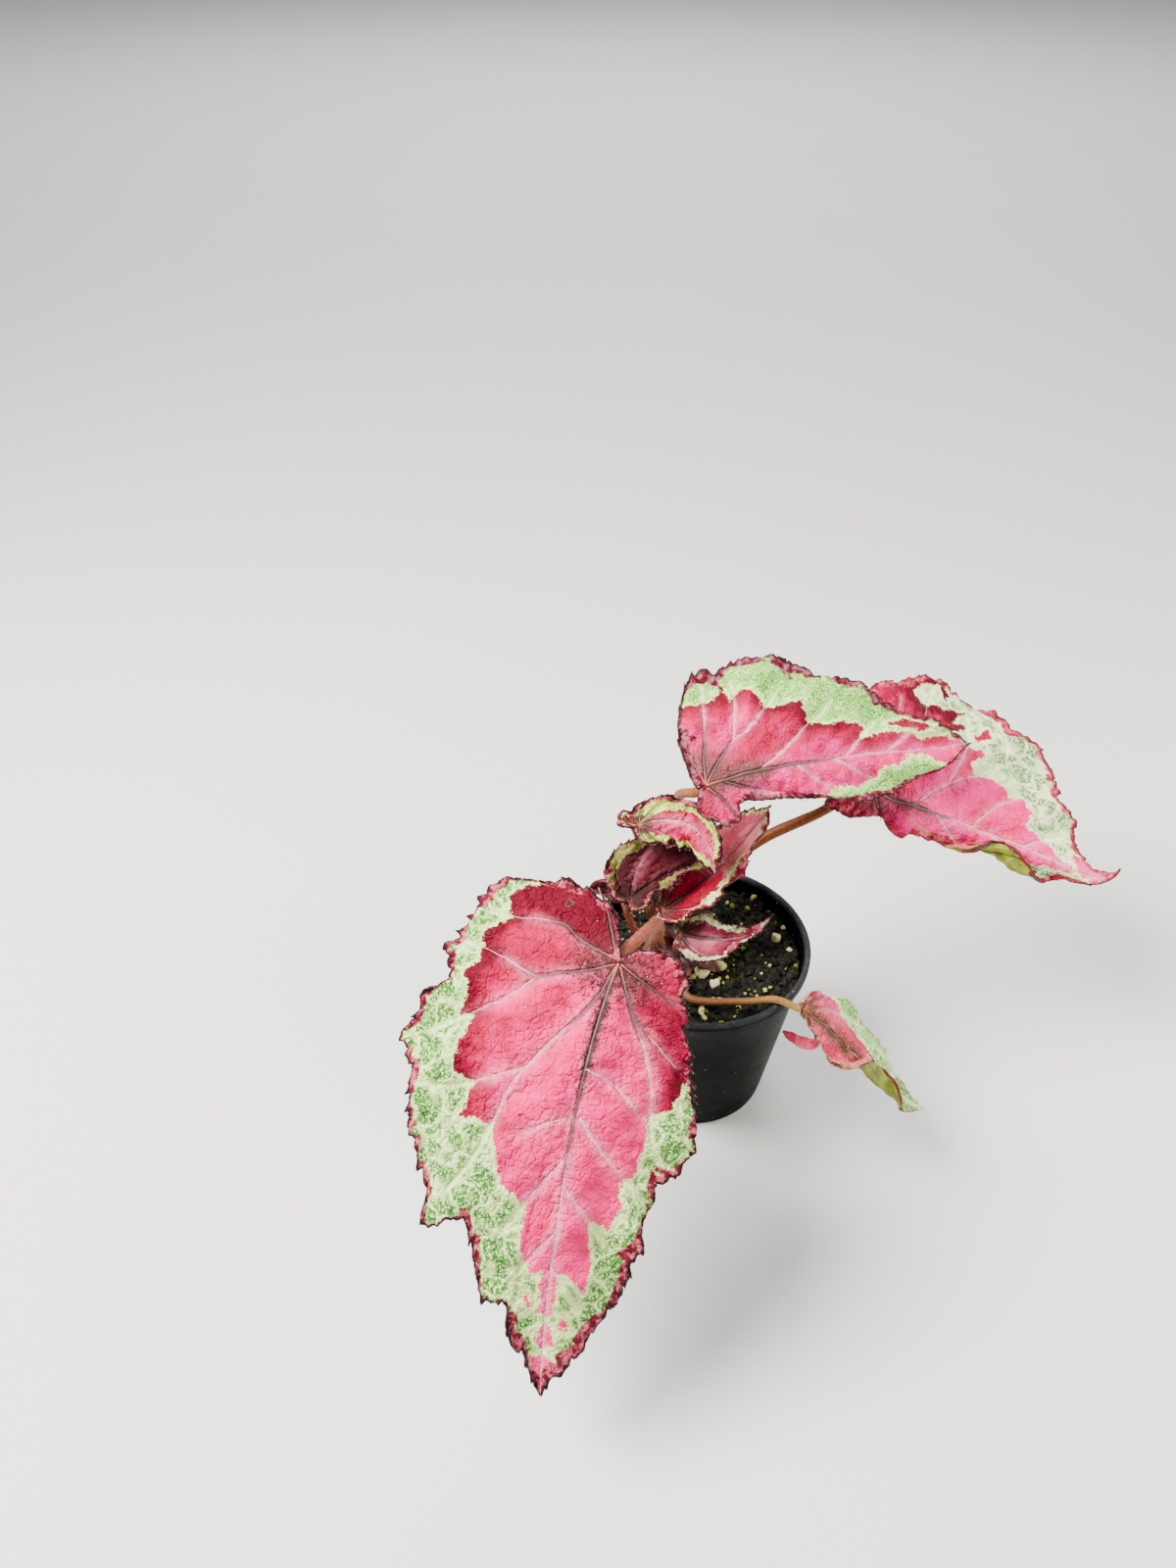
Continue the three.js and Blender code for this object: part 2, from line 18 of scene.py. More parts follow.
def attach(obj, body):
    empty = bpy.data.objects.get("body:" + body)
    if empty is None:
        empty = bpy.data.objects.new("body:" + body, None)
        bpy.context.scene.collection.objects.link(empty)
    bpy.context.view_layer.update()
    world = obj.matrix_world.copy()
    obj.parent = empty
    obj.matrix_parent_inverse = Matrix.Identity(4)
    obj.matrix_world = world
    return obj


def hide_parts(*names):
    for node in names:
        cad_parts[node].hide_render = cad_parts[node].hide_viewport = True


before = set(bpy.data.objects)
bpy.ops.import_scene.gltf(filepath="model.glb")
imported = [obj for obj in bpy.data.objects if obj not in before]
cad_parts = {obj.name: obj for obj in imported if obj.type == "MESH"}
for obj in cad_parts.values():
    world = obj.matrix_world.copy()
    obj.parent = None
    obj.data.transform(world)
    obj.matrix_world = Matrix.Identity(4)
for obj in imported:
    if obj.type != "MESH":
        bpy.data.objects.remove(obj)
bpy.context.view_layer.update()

print("nodes in the frame:", len(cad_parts))

# %% [markdown]
# ## The camera
# The camera comes first, because it says which sides matter most. It looks down on the pot
# from in front and above. A 27 mm lens on a 36 mm sensor gives the wide view in which the
# hanging leaf looks larger than the ones behind it.

# %% The camera
scene = bpy.context.scene
camera = bpy.data.objects.new("camera", bpy.data.cameras.new("camera"))
scene.collection.objects.link(camera)
camera.location = (-0.0511, -0.3718, 0.4819)
camera.rotation_euler = (math.radians(51.05), 0, 0)
camera.data.lens = 27
camera.data.sensor_width = 36
scene.camera = camera
print("camera height in metres:", round(camera.location.z, 3))

# %% [markdown]
# ## One way to make almost every piece
# A leaf blade, a stalk, a vein, the soil and the pot's own wall are all thin sheets that have
# been bent. So most pieces start as the same flat grid. Each of its points has a place across
# and along, from 0 to 1, and a rule says where that place goes in space. Rolled up, the grid
# is a tube; drawn together at one end, it is a fan. Blender's grid operator makes the faces,
# and only the points are moved, so no list of faces is ever written by hand.
# Lengths are in millimetres until a point is put in the mesh.

# %% Sheets
MM = 0.001


def fresh(*numbers):
    """An empty bmesh with room on its points for named numbers and a flat place."""
    bm = bmesh.new()
    for name in numbers:
        bm.verts.layers.float.new(name)
    bm.verts.layers.float_vector.new("flat")
    return bm


def sheet(bm, columns, rows):
    """A flat grid; returns its points and how far across and along each one is."""
    verts = bmesh.ops.create_grid(bm, x_segments=columns, y_segments=rows, size=0.5)["verts"]
    across = np.array([v.co.x for v in verts]) + 0.5
    along = np.array([v.co.y for v in verts]) + 0.5
    return verts, across, along


def put(verts, points):
    """Moves points of the mesh to places given in mm."""
    for vert, point in zip(verts, points):
        vert.co = point * MM


def merge(bm, verts):
    """Joins points that have come to the same place, at a seam or a pole."""
    bmesh.ops.remove_doubles(bm, verts=verts, dist=1e-7)
    return [v for v in verts if v.is_valid]


def close(bm, verts):
    """Joins the seam and poles of a rolled sheet, fills its ends and turns it outwards."""
    verts = merge(bm, verts)
    edges = {e for v in verts for e in v.link_edges if e.is_boundary}
    bmesh.ops.holes_fill(bm, edges=list(edges), sides=0)
    faces = {f for v in verts for f in v.link_faces}
    bmesh.ops.recalc_face_normals(bm, faces=list(faces))
    return verts


bm = fresh()
print("points of a sheet of 3 by 2 squares:", len(sheet(bm, 3, 2)[0]))
bm.free()

# %% [markdown]
# ## From points to a piece
# A finish can read numbers that a mesh carries on its points, so each sheet takes its own
# pattern along wherever it is bent. When a bmesh is done it becomes an object. It rides on
# the plant's one body, has a slot for its kind of finish, and says which solid it replaces.

# %% Pieces
def carry(bm, verts, **numbers):
    """Writes named numbers on the points, for the finishes to read."""
    for name, values in numbers.items():
        layer = bm.verts.layers.float[name]
        for vert, value in zip(verts, values):
            vert[layer] = value


def lay_flat(bm, verts, places):
    """Writes each point's place on the flat paper, in mm, for patterns to follow."""
    layer = bm.verts.layers.float_vector["flat"]
    for vert, place in zip(verts, places):
        vert[layer] = place


def piece(name, bm, finishes, replaces=None, smooth=True):
    """Turns a bmesh into an object that rides on the plant."""
    mesh = bpy.data.meshes.new(name)
    for face in bm.faces:
        face.smooth = smooth
    bm.to_mesh(mesh)
    bm.free()
    for finish in finishes:
        mesh.materials.append(finish)
    made = bpy.data.objects.new(name, mesh)
    scene.collection.objects.link(made)
    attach(made, "root")
    if replaces:
        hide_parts(replaces)
    return made


print("every piece rides on one body, root")

# %% [markdown]
# ## Smooth lines and wandering
# Growing things have no straight lines and no exact repeats. A smooth line goes through a few
# chosen points. A wander is a sum of a few slow waves with seeded directions, so the plant is
# uneven in the same way each time.

# %% Lines and wandering
def unit(v):
    """The same directions, each of length 1."""
    return v / np.maximum(np.linalg.norm(v, axis=-1, keepdims=True), 1e-9)


def smooth_line(points, count):
    """count + 1 evenly spaced points of a smooth line through the given points."""
    p = np.array(points, float)
    p = np.vstack([2 * p[0] - p[1], p, 2 * p[-1] - p[-2]])
    t = np.linspace(0, 1, 24, endpoint=False)[:, None]
    fine = [p1 + 0.5 * (t * (p2 - p0) + t**2 * (2 * p0 - 5 * p1 + 4 * p2 - p3)
                        + t**3 * (3 * p1 - p0 - 3 * p2 + p3))
            for p0, p1, p2, p3 in zip(p[:-3], p[1:-2], p[2:-1], p[3:])]
    fine = np.vstack(fine + [p[-2:-1]])
    run = np.concatenate([[0], np.cumsum(np.linalg.norm(np.diff(fine, axis=0), axis=1))])
    even = np.linspace(0, run[-1], count + 1)
    return np.stack([np.interp(even, run, fine[:, k]) for k in range(fine.shape[1])], 1)


def length_of(points):
    return float(np.linalg.norm(np.diff(np.array(points, float), axis=0), axis=1).sum())


def wander(points, size, seed, waves=7):
    """Slow seeded waves between about -1 and 1; size is the length of a wave in mm."""
    rng = np.random.default_rng(seed)
    points = np.asarray(points, float)
    total = np.zeros(len(points))
    for _ in range(waves):
        way = unit(rng.normal(size=points.shape[1])) * rng.uniform(0.7, 1.5)
        total += np.sin(2 * np.pi * points @ way / size + rng.uniform(0, 6.3))
    return total / np.sqrt(waves)


def smooth_step(low, high, value):
    """0 up to low, 1 from high on, and a soft change between."""
    t = np.clip((value - low) / (high - low), 0, 1)
    return t * t * (3 - 2 * t)


print("length of a smooth line of 4 points:",
      round(length_of(smooth_line([[0, 0], [1, 2], [3, 1]], 3)), 2))

# %% [markdown]
# ## Distances
# The colours of a blade follow its veins and its margin. A distance to a set of lines says
# how far a point is from the nearest one, and which one that is. Whether a point is inside a
# ring is found by counting how often a line from it crosses the ring.

# %% Distances
def distance_to(lines, points):
    """How far each flat point is from the nearest of the lines, and which line that is."""
    best = np.full(len(points), 1e9)
    which = np.zeros(len(points), int)
    for k, line in enumerate(lines):
        line = np.asarray(line, float)
        for start, end in zip(line[:-1], line[1:]):
            step = end - start
            t = np.clip(((points - start) @ step) / max(step @ step, 1e-9), 0, 1)
            d = np.linalg.norm(points - start - t[:, None] * step, axis=1)
            nearer = d < best
            best[nearer] = d[nearer]
            which[nearer] = k
    return best, which


def inside(ring, points):
    """Whether each flat point is inside a closed ring."""
    ring = np.asarray(ring, float)
    odd = np.zeros(len(points), bool)
    for (x0, y0), (x1, y1) in zip(ring, np.roll(ring, -1, axis=0)):
        if y0 == y1:
            continue
        crosses = (y0 > points[:, 1]) != (y1 > points[:, 1])
        odd ^= crosses & (points[:, 0] < (x1 - x0) * (points[:, 1] - y0) / (y1 - y0) + x0)
    return odd


square = np.array([[0, 0], [2, 0], [2, 2], [0, 2]])
print("is a point inside a square:", inside(square, np.array([[1.0, 1.0], [3.0, 1.0]])))

# %% [markdown]
# ## The shape of a blade
# A begonia blade is drawn flat first, as on squared paper: a runs along the midrib and b
# across it, and the outline is a row of angles and reaches seen from the stalk. Then the
# paper is bent. The midrib becomes a curve in space, each half lifts and bends away from it,
# and a margin may roll over. The midribs and nearly all the bends are those of the solids, so
# the fine blade lies where its solid does. Some outlines are drawn a little more closely here,
# and the teeth, veins and puckers are new. A row of rolls says on which half it is, its centre
# and half width as shares of the length, where it starts in mm, its degrees and over how many
# mm they are turned.

# %% Leaf measures
LEAVES = {  # mm; right and left hold degrees of lift, and of bend in each 100 mm
    "front": dict(
        rib=[[-40, -80, 162], [-57, -122.5, 149.5], [-65, -159, 100], [-68.5, -180.5, 42]],
        faces=[[0, -0.5, 0.86], [0, -0.85, 0.5]], right=(-4, -25), left=(-12, -25),
        outline_right=[[160, 18], [154, 24], [144, 30], [130, 41.5], [122, 45.5], [116, 52],
                       [109, 59], [100, 60], [88, 62], [78, 67.5], [73, 64.5], [66, 65],
                       [63, 75], [59, 78], [55, 87], [47, 87.5], [40, 93.6], [36, 99.5],
                       [30, 106.5], [26, 111], [23, 120], [19, 112], [16.5, 112],
                       [14, 119.5], [10.2, 133], [6.4, 132], [5.2, 144], [3, 149],
                       [2, 157]],
        outline_left=[[145, 11], [128, 19], [116, 24], [105, 28], [88, 28], [72, 33.5],
                      [63, 35], [52, 47.5], [47, 53.5], [41, 67], [38, 75], [32, 86],
                      [25, 91.5], [22.5, 92], [20.5, 101], [17.5, 105], [16.5, 113.5],
                      [14, 117.5], [13.5, 125], [11, 133], [9, 139], [6, 146], [3, 152]],
        ruffle=(1.8, 11), grid=(520, 68)),
    "upper": dict(
        rib=[[-2, 8, 174], [33, 18.5, 182.5], [81, 29.5, 172], [123, 52.2, 163.8]],
        faces=[[-0.05, -0.4, 0.9], [0.1, -0.45, 0.88]], right=(-22, -100), left=(4, -22),
        outline_right=[[125, 12], [88, 17], [62, 22], [46, 20], [34, 20], [28, 27], [20, 40],
                       [17, 55], [15, 72], [11, 90], [6, 108]],
        outline_left=[[165, 4], [115, 11], [97, 24], [86, 37], [79.7, 47], [75.4, 52.5],
                      [69, 56.5], [64.8, 56.5], [62.4, 61.5], [55, 70], [51.6, 70.3],
                      [45.6, 75], [41.4, 77], [35.2, 82.5], [32.3, 82], [28, 86], [22, 92],
                      [15, 100], [8, 112]],
        teeth=0.8, ruffle=(2.5, 9), grid=(440, 58)),
    "right": dict(
        rib=[[76, 30, 152], [110, 22, 142], [148, 34, 112], [188, 7, 118.5]],
        faces=[[0.1, -0.35, 0.92], [0.35, -0.45, 0.85]], right=(-45, -80), left=(4, -25),
        outline_right=[[150, 22], [137, 19.5], [112, 15], [93, 12], [77, 11.5], [50, 13],
                       [45, 16], [43, 20.5], [35, 26.5], [27, 27.5], [20, 31], [17, 37],
                       [13, 43], [11, 49], [13.5, 58], [15, 70], [11, 83], [6.5, 93],
                       [4.2, 101], [3, 108], [1.8, 114]],
        outline_left=[[165, 8], [140, 24], [105, 54], [92, 68], [82, 75], [72, 83.5],
                      [62.5, 91.5], [58, 95], [53.4, 94], [49, 97.5], [42, 96.5], [38, 102],
                      [32, 102.5], [26.7, 100.5], [18.4, 96], [13.7, 101.5], [6.7, 103],
                      [3.3, 107.5], [1.2, 113]],
        rolls=[(1, 0.55, 0.27, 6, 195, 5)], tail=(0.9, 9), teeth=0.45, ruffle=(2.1, 9),
        grid=(440, 58)),
    "curled": dict(
        rib=[[-29, 10.5, 150], [-16, 9, 158], [1, 9, 156], [3.4, -5.3, 135]],
        faces=[[0, -0.4, 0.9], [0.25, -0.75, 0.6]], right=(-35, -40), left=(6, -60),
        outline_right=[[150, 4], [115, 6], [84, 8.5], [60, 11.5], [45, 15], [32, 21], [24, 27],
                       [17.5, 33], [13, 37.5], [7, 43], [2.5, 47]],
        outline_left=[[165, 9], [140, 12.5], [118, 10], [100, 7], [88, 9], [72, 10], [52, 13],
                      [36, 18], [22, 27], [10, 38]],
        rolls=[(-1, -0.1, 0.4, 5, 70, 8)], teeth=1.5, puff=1.35, ruffle=(2.2, 9),
        grid=(230, 34)),
    "shaded": dict(
        rib=[[-31.5, 9, 107], [-25, 8, 118], [-12, 8, 128], [1, 8.5, 129.5]],
        faces=[[-0.1, -0.75, 0.65], [-0.1, -0.6, 0.75]], right=(40, 45), left=(10, 0),
        outline_right=[[150, 4], [110, 6], [80, 8], [50, 11], [25, 18], [12, 28]],
        outline_left=[[160, 4], [130, 8], [105, 12], [85, 17], [65, 24], [45, 30], [30, 36],
                      [20, 39.5], [9, 42]],
        teeth=1.5, puff=1.5, ruffle=(2.3, 8), grid=(210, 32)),
    "upright": dict(
        rib=[[-18, 2, 107], [-6, 6, 112], [14, 14, 126], [30, 24.4, 150]],
        faces=[[-0.35, -0.5, 0.8], [-0.4, -0.5, 0.75]], right=(25, 30), left=(35, 20),
        outline_right=[[150, 5], [100, 8], [65, 12], [45, 16], [30, 25], [18, 43], [8, 57]],
        outline_left=[[150, 3], [100, 5], [65, 8], [45, 13], [30, 27], [19, 45], [13, 57],
                      [7, 63]],
        teeth=1.3, ruffle=(1.6, 9), grid=(210, 32)),
    "low": dict(
        rib=[[-9.5, 0.2, 93.6], [2, -7, 99], [18, -9, 92], [34, 10, 96]],
        faces=[[-0.1, -0.45, 0.88], [-0.2, -0.35, 0.9]], right=(10, -20), left=(20, 20),
        outline_right=[[150, 3], [90, 7], [60, 12], [42, 18], [26, 24], [12, 28], [4, 38]],
        outline_left=[[150, 3], [90, 7], [55, 12], [36, 20], [26, 21], [14, 27], [4, 40]],
        teeth=1.5, ruffle=(1.5, 7), grid=(190, 30)),
    "trailing": dict(
        rib=[[41.2, -41.5, 92.2], [52, -48, 87.5], [72, -54, 58], [99.4, -52, 35]],
        faces=[[0.2, -0.5, 0.85], [0.2, -0.55, 0.8]], right=(10, 0), left=(-25, -60),
        outline_right=[[150, 2], [95, 2.5], [60, 4], [45, 6], [30, 10], [22, 19], [18, 34],
                       [18, 47], [14, 60], [6, 72]],
        outline_left=[[150, 3], [110, 6], [88, 11], [65, 17], [46, 26], [35, 41], [26.5, 52],
                      [19, 59], [12, 64], [7, 68], [4, 74]],
        rolls=[(1, 0.64, 0.28, 3, 195, 5), (-1, 0.96, 0.16, 3, 215, 4)],
        teeth=0.3, ruffle=(0.8, 6), grid=(240, 32)),
    "young": dict(
        rib=[[-40, 24, 97], [-43.5, 24.5, 100], [-48, 25, 100], [-51, 24, 97]],
        faces=[[0, -0.6, 0.8], [0, -0.6, 0.8]], right=(30, 110), left=(30, 110),
        outline_right=[[150, 2], [90, 4], [55, 6], [30, 8], [12, 10]],
        outline_left=[[150, 2], [90, 4], [55, 6], [30, 8], [12, 10]],
        ruffle=(0.4, 5), grid=(90, 14)),
}
print("leaves:", list(LEAVES))

# %% [markdown]
# ## The midrib
# The midrib is one Bezier curve in space with four control points. Two of them are its ends,
# and the other two say which way it sets out and comes in, which is enough for the arch of a
# leaf that rises from its stalk and then hangs. Its length is the length of the flat leaf.

# %% Midrib
def midrib(leaf, t):
    """Points and directions of the midrib's Bezier curve."""
    p = np.array(leaf["rib"], float)
    t = np.asarray(t, float)[:, None]
    u = 1 - t
    point = u**3 * p[0] + 3 * u * u * t * p[1] + 3 * u * t * t * p[2] + t**3 * p[3]
    way = u * u * (p[1] - p[0]) + 2 * u * t * (p[2] - p[1]) + t * t * (p[3] - p[2])
    return point, unit(way)


for leaf in LEAVES.values():
    leaf["length"] = length_of(midrib(leaf, np.linspace(0, 1, 200))[0])
print("lengths of the leaves in mm:", {k: round(v["length"]) for k, v in LEAVES.items()})

# %% [markdown]
# ## Bending the paper
# A half of the blade is followed outwards from the midrib in short straight steps. Each step
# turns a little more than the one before, so one pair of numbers, lift and bend, gives a half
# that droops like a roof or cups like a hand. A roll adds a sharp turn near the edge, and a
# tail lifts the last of the tip.

# %% Bending
STEPS = 14


def bend(leaf, a, b):
    """Where the flat point a, b goes once the blade is bent, in mm."""
    t = np.clip(a / leaf["length"], 0, 1)
    point, way = midrib(leaf, t)
    point = point + way * (a - t * leaf["length"])[:, None]
    first, last = (unit(np.array(v, float)) for v in leaf["faces"])
    up = first + (last - first) * t[:, None]
    up = unit(up - (up * way).sum(1, keepdims=True) * way)
    side = np.cross(way, up)
    if "tail" in leaf:
        start, rise = leaf["tail"]
        past = np.clip((a / leaf["length"] - start) / (1 - start), 0, 1.2)
        point = point + up * (rise * past**2)[:, None]
    is_right = b > 0
    lift = np.where(is_right, leaf["right"][0], leaf["left"][0])
    turn = np.where(is_right, leaf["right"][1], leaf["left"][1])
    step = np.abs(b) / STEPS
    for k in range(STEPS):
        out = (k + 0.5) * step
        angle = lift + turn * out / 100
        for half, at, width, start, amount, over in leaf.get("rolls", []):
            place = np.maximum(0, 1 - ((a / leaf["length"] - at) / width) ** 2) ** 1.5
            place = place * (is_right == (half > 0))
            angle = angle + place * amount * np.clip((out - start) / over, 0, 1)
        angle = np.radians(angle)
        point = point + side * (np.sign(b) * step * np.cos(angle))[:, None]
        point = point + up * (step * np.sin(angle))[:, None]
    return point


tip = bend(LEAVES["front"], np.array([165.0]), np.array([0.0]))[0]
print("tip of the front leaf in mm:", tip.round(1))

# %% [markdown]
# ## The toothed outline
# The edge of the blade is toothed twice: large teeth that lean towards the tip carry smaller
# ones, each ending in a hair, and no two are quite alike. They are added to the flat outline
# as a saw-tooth whose height wanders. Around the stalk, where the two lobes nearly meet, the
# edge is smooth.

# %% Outlines
TOOTH = 2.7  # height of a large tooth
TOOTH_PITCH = 8.8
FINE = 600  # steps along half an outline, before the teeth are cut


def outline(leaf, seed):
    """The flat margin as evenly spaced points: right half, tip, left half."""
    columns = leaf["grid"][0]
    halves = []
    for name, sign in (("outline_right", 1), ("outline_left", -1)):
        polar = np.array([[180, 3]] + leaf[name], float)
        angle = np.radians(polar[:, 0])
        flat = np.stack([polar[:, 1] * np.cos(angle), sign * polar[:, 1] * np.sin(angle)], 1)
        halves.append(smooth_line(np.vstack([flat, [leaf["length"], 0]]), FINE))
    sizes = [length_of(h) for h in halves]
    first = round(columns * sizes[0] / sum(sizes))
    parts = []
    for half, size, count in zip(halves, sizes, (first, columns - first)):
        run = np.linspace(0, 1, count + 1)
        even = np.linspace(0, 1, FINE + 1)
        at = np.stack([np.interp(run, even, half[:, k]) for k in (0, 1)], 1)
        mm = run * size
        pitch = min(TOOTH_PITCH, sum(sizes) / 30)
        phase = mm / pitch + 0.3 * wander(mm[:, None], 30, seed)
        saw = (phase % 1) ** 1.6 - 0.5 + 0.35 * ((phase * 2.7) % 1 - 0.5)
        height = leaf.get("teeth", 1) * min(TOOTH, sum(sizes) / 125)
        height = height * (0.85 + 0.35 * wander(mm[:, None], 13, seed + 1))
        reach = np.linalg.norm(at, axis=1)
        height = height * smooth_step(8, 16, reach) * smooth_step(0, 6, size - mm)
        parts.append(at * (1 + height * saw / np.maximum(reach, 1))[:, None])
    return np.vstack([parts[0], parts[1][-2::-1]])


for number, leaf in enumerate(LEAVES.values()):
    leaf["margin"] = outline(leaf, 10 * number)
    angle = -np.degrees(np.arctan2(leaf["margin"][:, 1], leaf["margin"][:, 0]))
    angle[0] = -180
    angle[-1] = 180
    leaf["angles"] = np.maximum.accumulate(angle)
    leaf["reach"] = np.linalg.norm(leaf["margin"], axis=1)
    leaf["round"] = length_of(leaf["margin"])
print("points round the front leaf:", len(LEAVES["front"]["margin"]))

# %% [markdown]
# ## Veins
# The main veins leave the stalk like the fingers of a hand and fork on the way out. Those of
# the three large leaves are drawn on the flat paper, in millimetres, each as a row of points.
# The other leaves get a fan of veins, for which one angle each is enough.

# %% Veins
VEINS = {
    "front": [
        [[0, 0], [22, 0], [56, 0], [95, -0.5], [124, 0], [150, 0], [163, 0]],
        [[2, 0.5], [20, 4], [34, 12], [48, 20], [58, 25], [70, 28], [84, 33], [97, 41]],
        [[50, 21], [59, 38], [63, 50], [64, 60]],
        [[1, 1], [9, 13], [16, 26], [26, 35], [38, 49], [46, 60]],
        [[16, 26], [13, 37], [10, 48], [9, 59]],
        [[-1, 1], [-4, 15], [-8, 24], [-8, 34], [-6, 42], [-5, 54]],
        [[-1, 1], [-10, 6], [-20, 12], [-27, 18]],
        [[1, -1], [6, -4], [18, -11], [31, -19], [46, -25], [65, -29], [76, -34]],
        [[0, -1], [2, -8], [3, -15], [5, -25]],
        [[18, -11], [28, -24], [35, -34]],
        [[63, 0], [67, 9], [73, 18]],
        [[79, 1], [94, 11], [108, 20]],
        [[45, 0], [48, -11], [54, -19], [59, -26]],
        [[63, -2], [73, -11], [85, -24], [92, -31]],
        [[89, -2], [99, -11], [109, -19]],
        [[104, 0], [114, 8], [123, 14]],
        [[116, 0], [126, -7], [133, -12]],
    ],
    "upper": [
        [[0, 0], [28, 0], [58, 0], [83, -1], [113, 0], [131, 0]],
        [[0, 0], [12, -10], [21, -17], [29, -20], [40, -29], [50, -39]],
        [[21, -17], [25, -27], [28, -36], [29, -46]],
        [[0, 0], [4, -11], [9, -22], [14, -37], [16, -47]],
        [[29, -1], [41, -7], [55, -17], [62, -21], [70, -28]],
        [[69, -1], [76, -7], [88, -16]],
        [[88, -1], [97, -6], [105, -10]],
        [[45, 1], [53, 7], [63, 15]],
        [[64, 0], [73, 6], [81, 10]],
        [[10, 1], [20, 6], [33, 11], [47, 16]],
        [[0, 0], [-1, -12], [-1, -20], [1, -31]],
        [[0, 1], [6, 8], [10, 16]],
    ],
    "right": [
        [[0, 0], [26, -1], [45, -2], [68, -3], [90, -1], [107, 1], [121, 0]],
        [[20, -1], [32, -14], [44, -24], [54, -31], [66, -42]],
        [[38, -19], [45, -34], [49, -50], [50, -64]],
        [[53, -3], [62, -16], [74, -27]],
        [[78, -2], [86, -9], [95, -16]],
        [[33, -1], [45, 6], [52, 10]],
        [[62, -3], [72, 3], [82, 6]],
        [[2, -2], [12, -20], [20, -40], [25, -58], [29, -73]],
        [[0, -2], [1, -22], [4, -42], [6, -60]],
        [[-1, -1], [-12, -14], [-22, -28], [-27, -38]],
        [[0, 1], [5, 6], [10, 12]],
    ],
}
FANS = {  # angles of the side veins on each half
    "curled": [28, 60, 95, 130], "shaded": [30, 62, 100], "upright": [22, 45, 80],
    "low": [28, 55, 95], "trailing": [24, 45], "young": [45],
}
print("drawn veins:", {name: len(lines) for name, lines in VEINS.items()})

# %% [markdown]
# ## Fans of veins
# On a small leaf each side vein runs from the stalk nearly to the margin and bends a little
# towards the tip, so two more points follow from its angle. Then every vein, drawn or not, is
# made a smooth line with a point for each 2.5 mm.

# %% Fans of veins
def on_margin(leaf, angle):
    """The reach of the blade at an angle from the midrib; right is positive."""
    return np.interp(-np.asarray(angle, float), leaf["angles"], leaf["reach"])


def flat_point(angle, reach):
    """The place on the paper at an angle from the midrib, reach mm from the stalk."""
    return [reach * math.cos(math.radians(angle)), reach * math.sin(math.radians(angle))]


for name, angles in FANS.items():
    leaf = LEAVES[name]
    VEINS[name] = [[[0, 0], [leaf["length"] * 0.5, 0], [leaf["length"] * 0.98, 0]]]
    for angle in angles + [-v for v in angles]:
        out = float(on_margin(leaf, angle))
        VEINS[name].append([[0, 0], flat_point(angle * 1.15, out * 0.5),
                            flat_point(angle, out * 0.93)])

for name, leaf in LEAVES.items():
    leaf["veins"] = [smooth_line(v, max(4, int(length_of(v) / 2.5))) for v in VEINS[name]]
print("veins drawn:", sum(len(leaf["veins"]) for leaf in LEAVES.values()))

# %% [markdown]
# ## The pink middle
# The pink follows the veins with a ragged edge, and the silver band fills the rest. On the
# large leaves and the withered one the pink is a ring drawn on the flat paper, with a few
# islands beyond it.

# %% Zones
ZONES = {
    "front": [[-12, 4], [-25, 10], [-26, 18], [-27, 29], [-24, 37], [-19, 43], [-13, 49],
              [-5, 45], [1, 49], [3, 53], [10, 51], [17, 50], [21, 53], [28, 49], [37, 50],
              [36, 45], [46, 46], [57, 47], [60, 38], [71, 40], [72, 28], [82, 25], [91, 21],
              [95, 12], [107, 12], [115, 10], [119, 6], [116, 3], [124, 3], [133, 3],
              [134, -1], [127, -2], [118, -3], [120, -8], [126, -13], [113, -14], [99, -11],
              [103, -19], [95, -22], [85, -21], [82, -25], [69, -28], [58, -27], [53, -34],
              [41, -38], [30, -44], [5, -44], [-20, -36], [-30, -10], [-34, 4]],
    "upper": [[-14, -36], [0, -44], [6, -38], [14, -38], [19, -37], [25, -44], [26, -36],
              [33, -40], [37, -38], [40, -29], [48, -28], [52, -30], [57, -29], [55, -25],
              [56, -18], [65, -17], [72, -17], [79, -15], [81, -13], [77, -7], [88, -10],
              [101, -8], [107, -4], [124, -1], [131, 0], [112, 3], [98, 2], [92, 6], [84, 5],
              [83, 10], [74, 13], [66, 12], [60, 12], [59, 15], [51, 14], [43, 16], [36, 13],
              [27, 12], [24, 24], [0, 34], [-20, 30], [-34, 0]],
    "trailing": [[-5, 0], [-3, -12], [6, -19], [18, -21], [24, -17], [31, -14], [40, -11],
                 [50, -8], [58, -3], [62, 3], [60, 14], [30, 14], [8, 10]],
    "right": [[-34, -44], [-14, -62], [-6, -70], [9, -78], [22, -80], [34, -82], [41, -74],
              [37.5, -69], [34, -76], [24.5, -73.5], [16, -67], [21, -60], [30, -62.5],
              [34, -63], [40, -64], [49, -67], [41, -57], [50, -59], [43, -50], [33, -46],
              [51, -44], [60, -45], [52, -39], [51, -31], [58, -31], [65, -29], [70, -26],
              [77, -25], [80, -19], [77, -13], [86, -10], [90, -8], [94, -3], [106, 1],
              [94, 3], [80, 4], [70, 8], [60, 16], [30, 26], [0, 30], [-34, 20]],
}
ISLANDS = {  # more pink, away from the middle
    "front": [[[126, 8], [133, 8], [131, 4.5]], [[136, -1], [141, 4], [147, 1], [143, -4]],
              [[133, -6], [138, -4], [139, -9]],
              [[151, -7], [159, -5], [163, 0], [158, 5], [151, 5], [148, 0]]],
    "right": [[[52, -52], [58, -58], [60, -54], [54, -48]],
              [[100, -6], [112, -4], [124, 0], [112, 3], [103, 1]]],
    "upper": [[[92, -14], [104, -15], [116, -8], [104, -9], [95, -11]],
              [[108, -4], [116, -6], [126, -3], [132, 0], [125, 4], [116, 7], [109, 5]]],
}
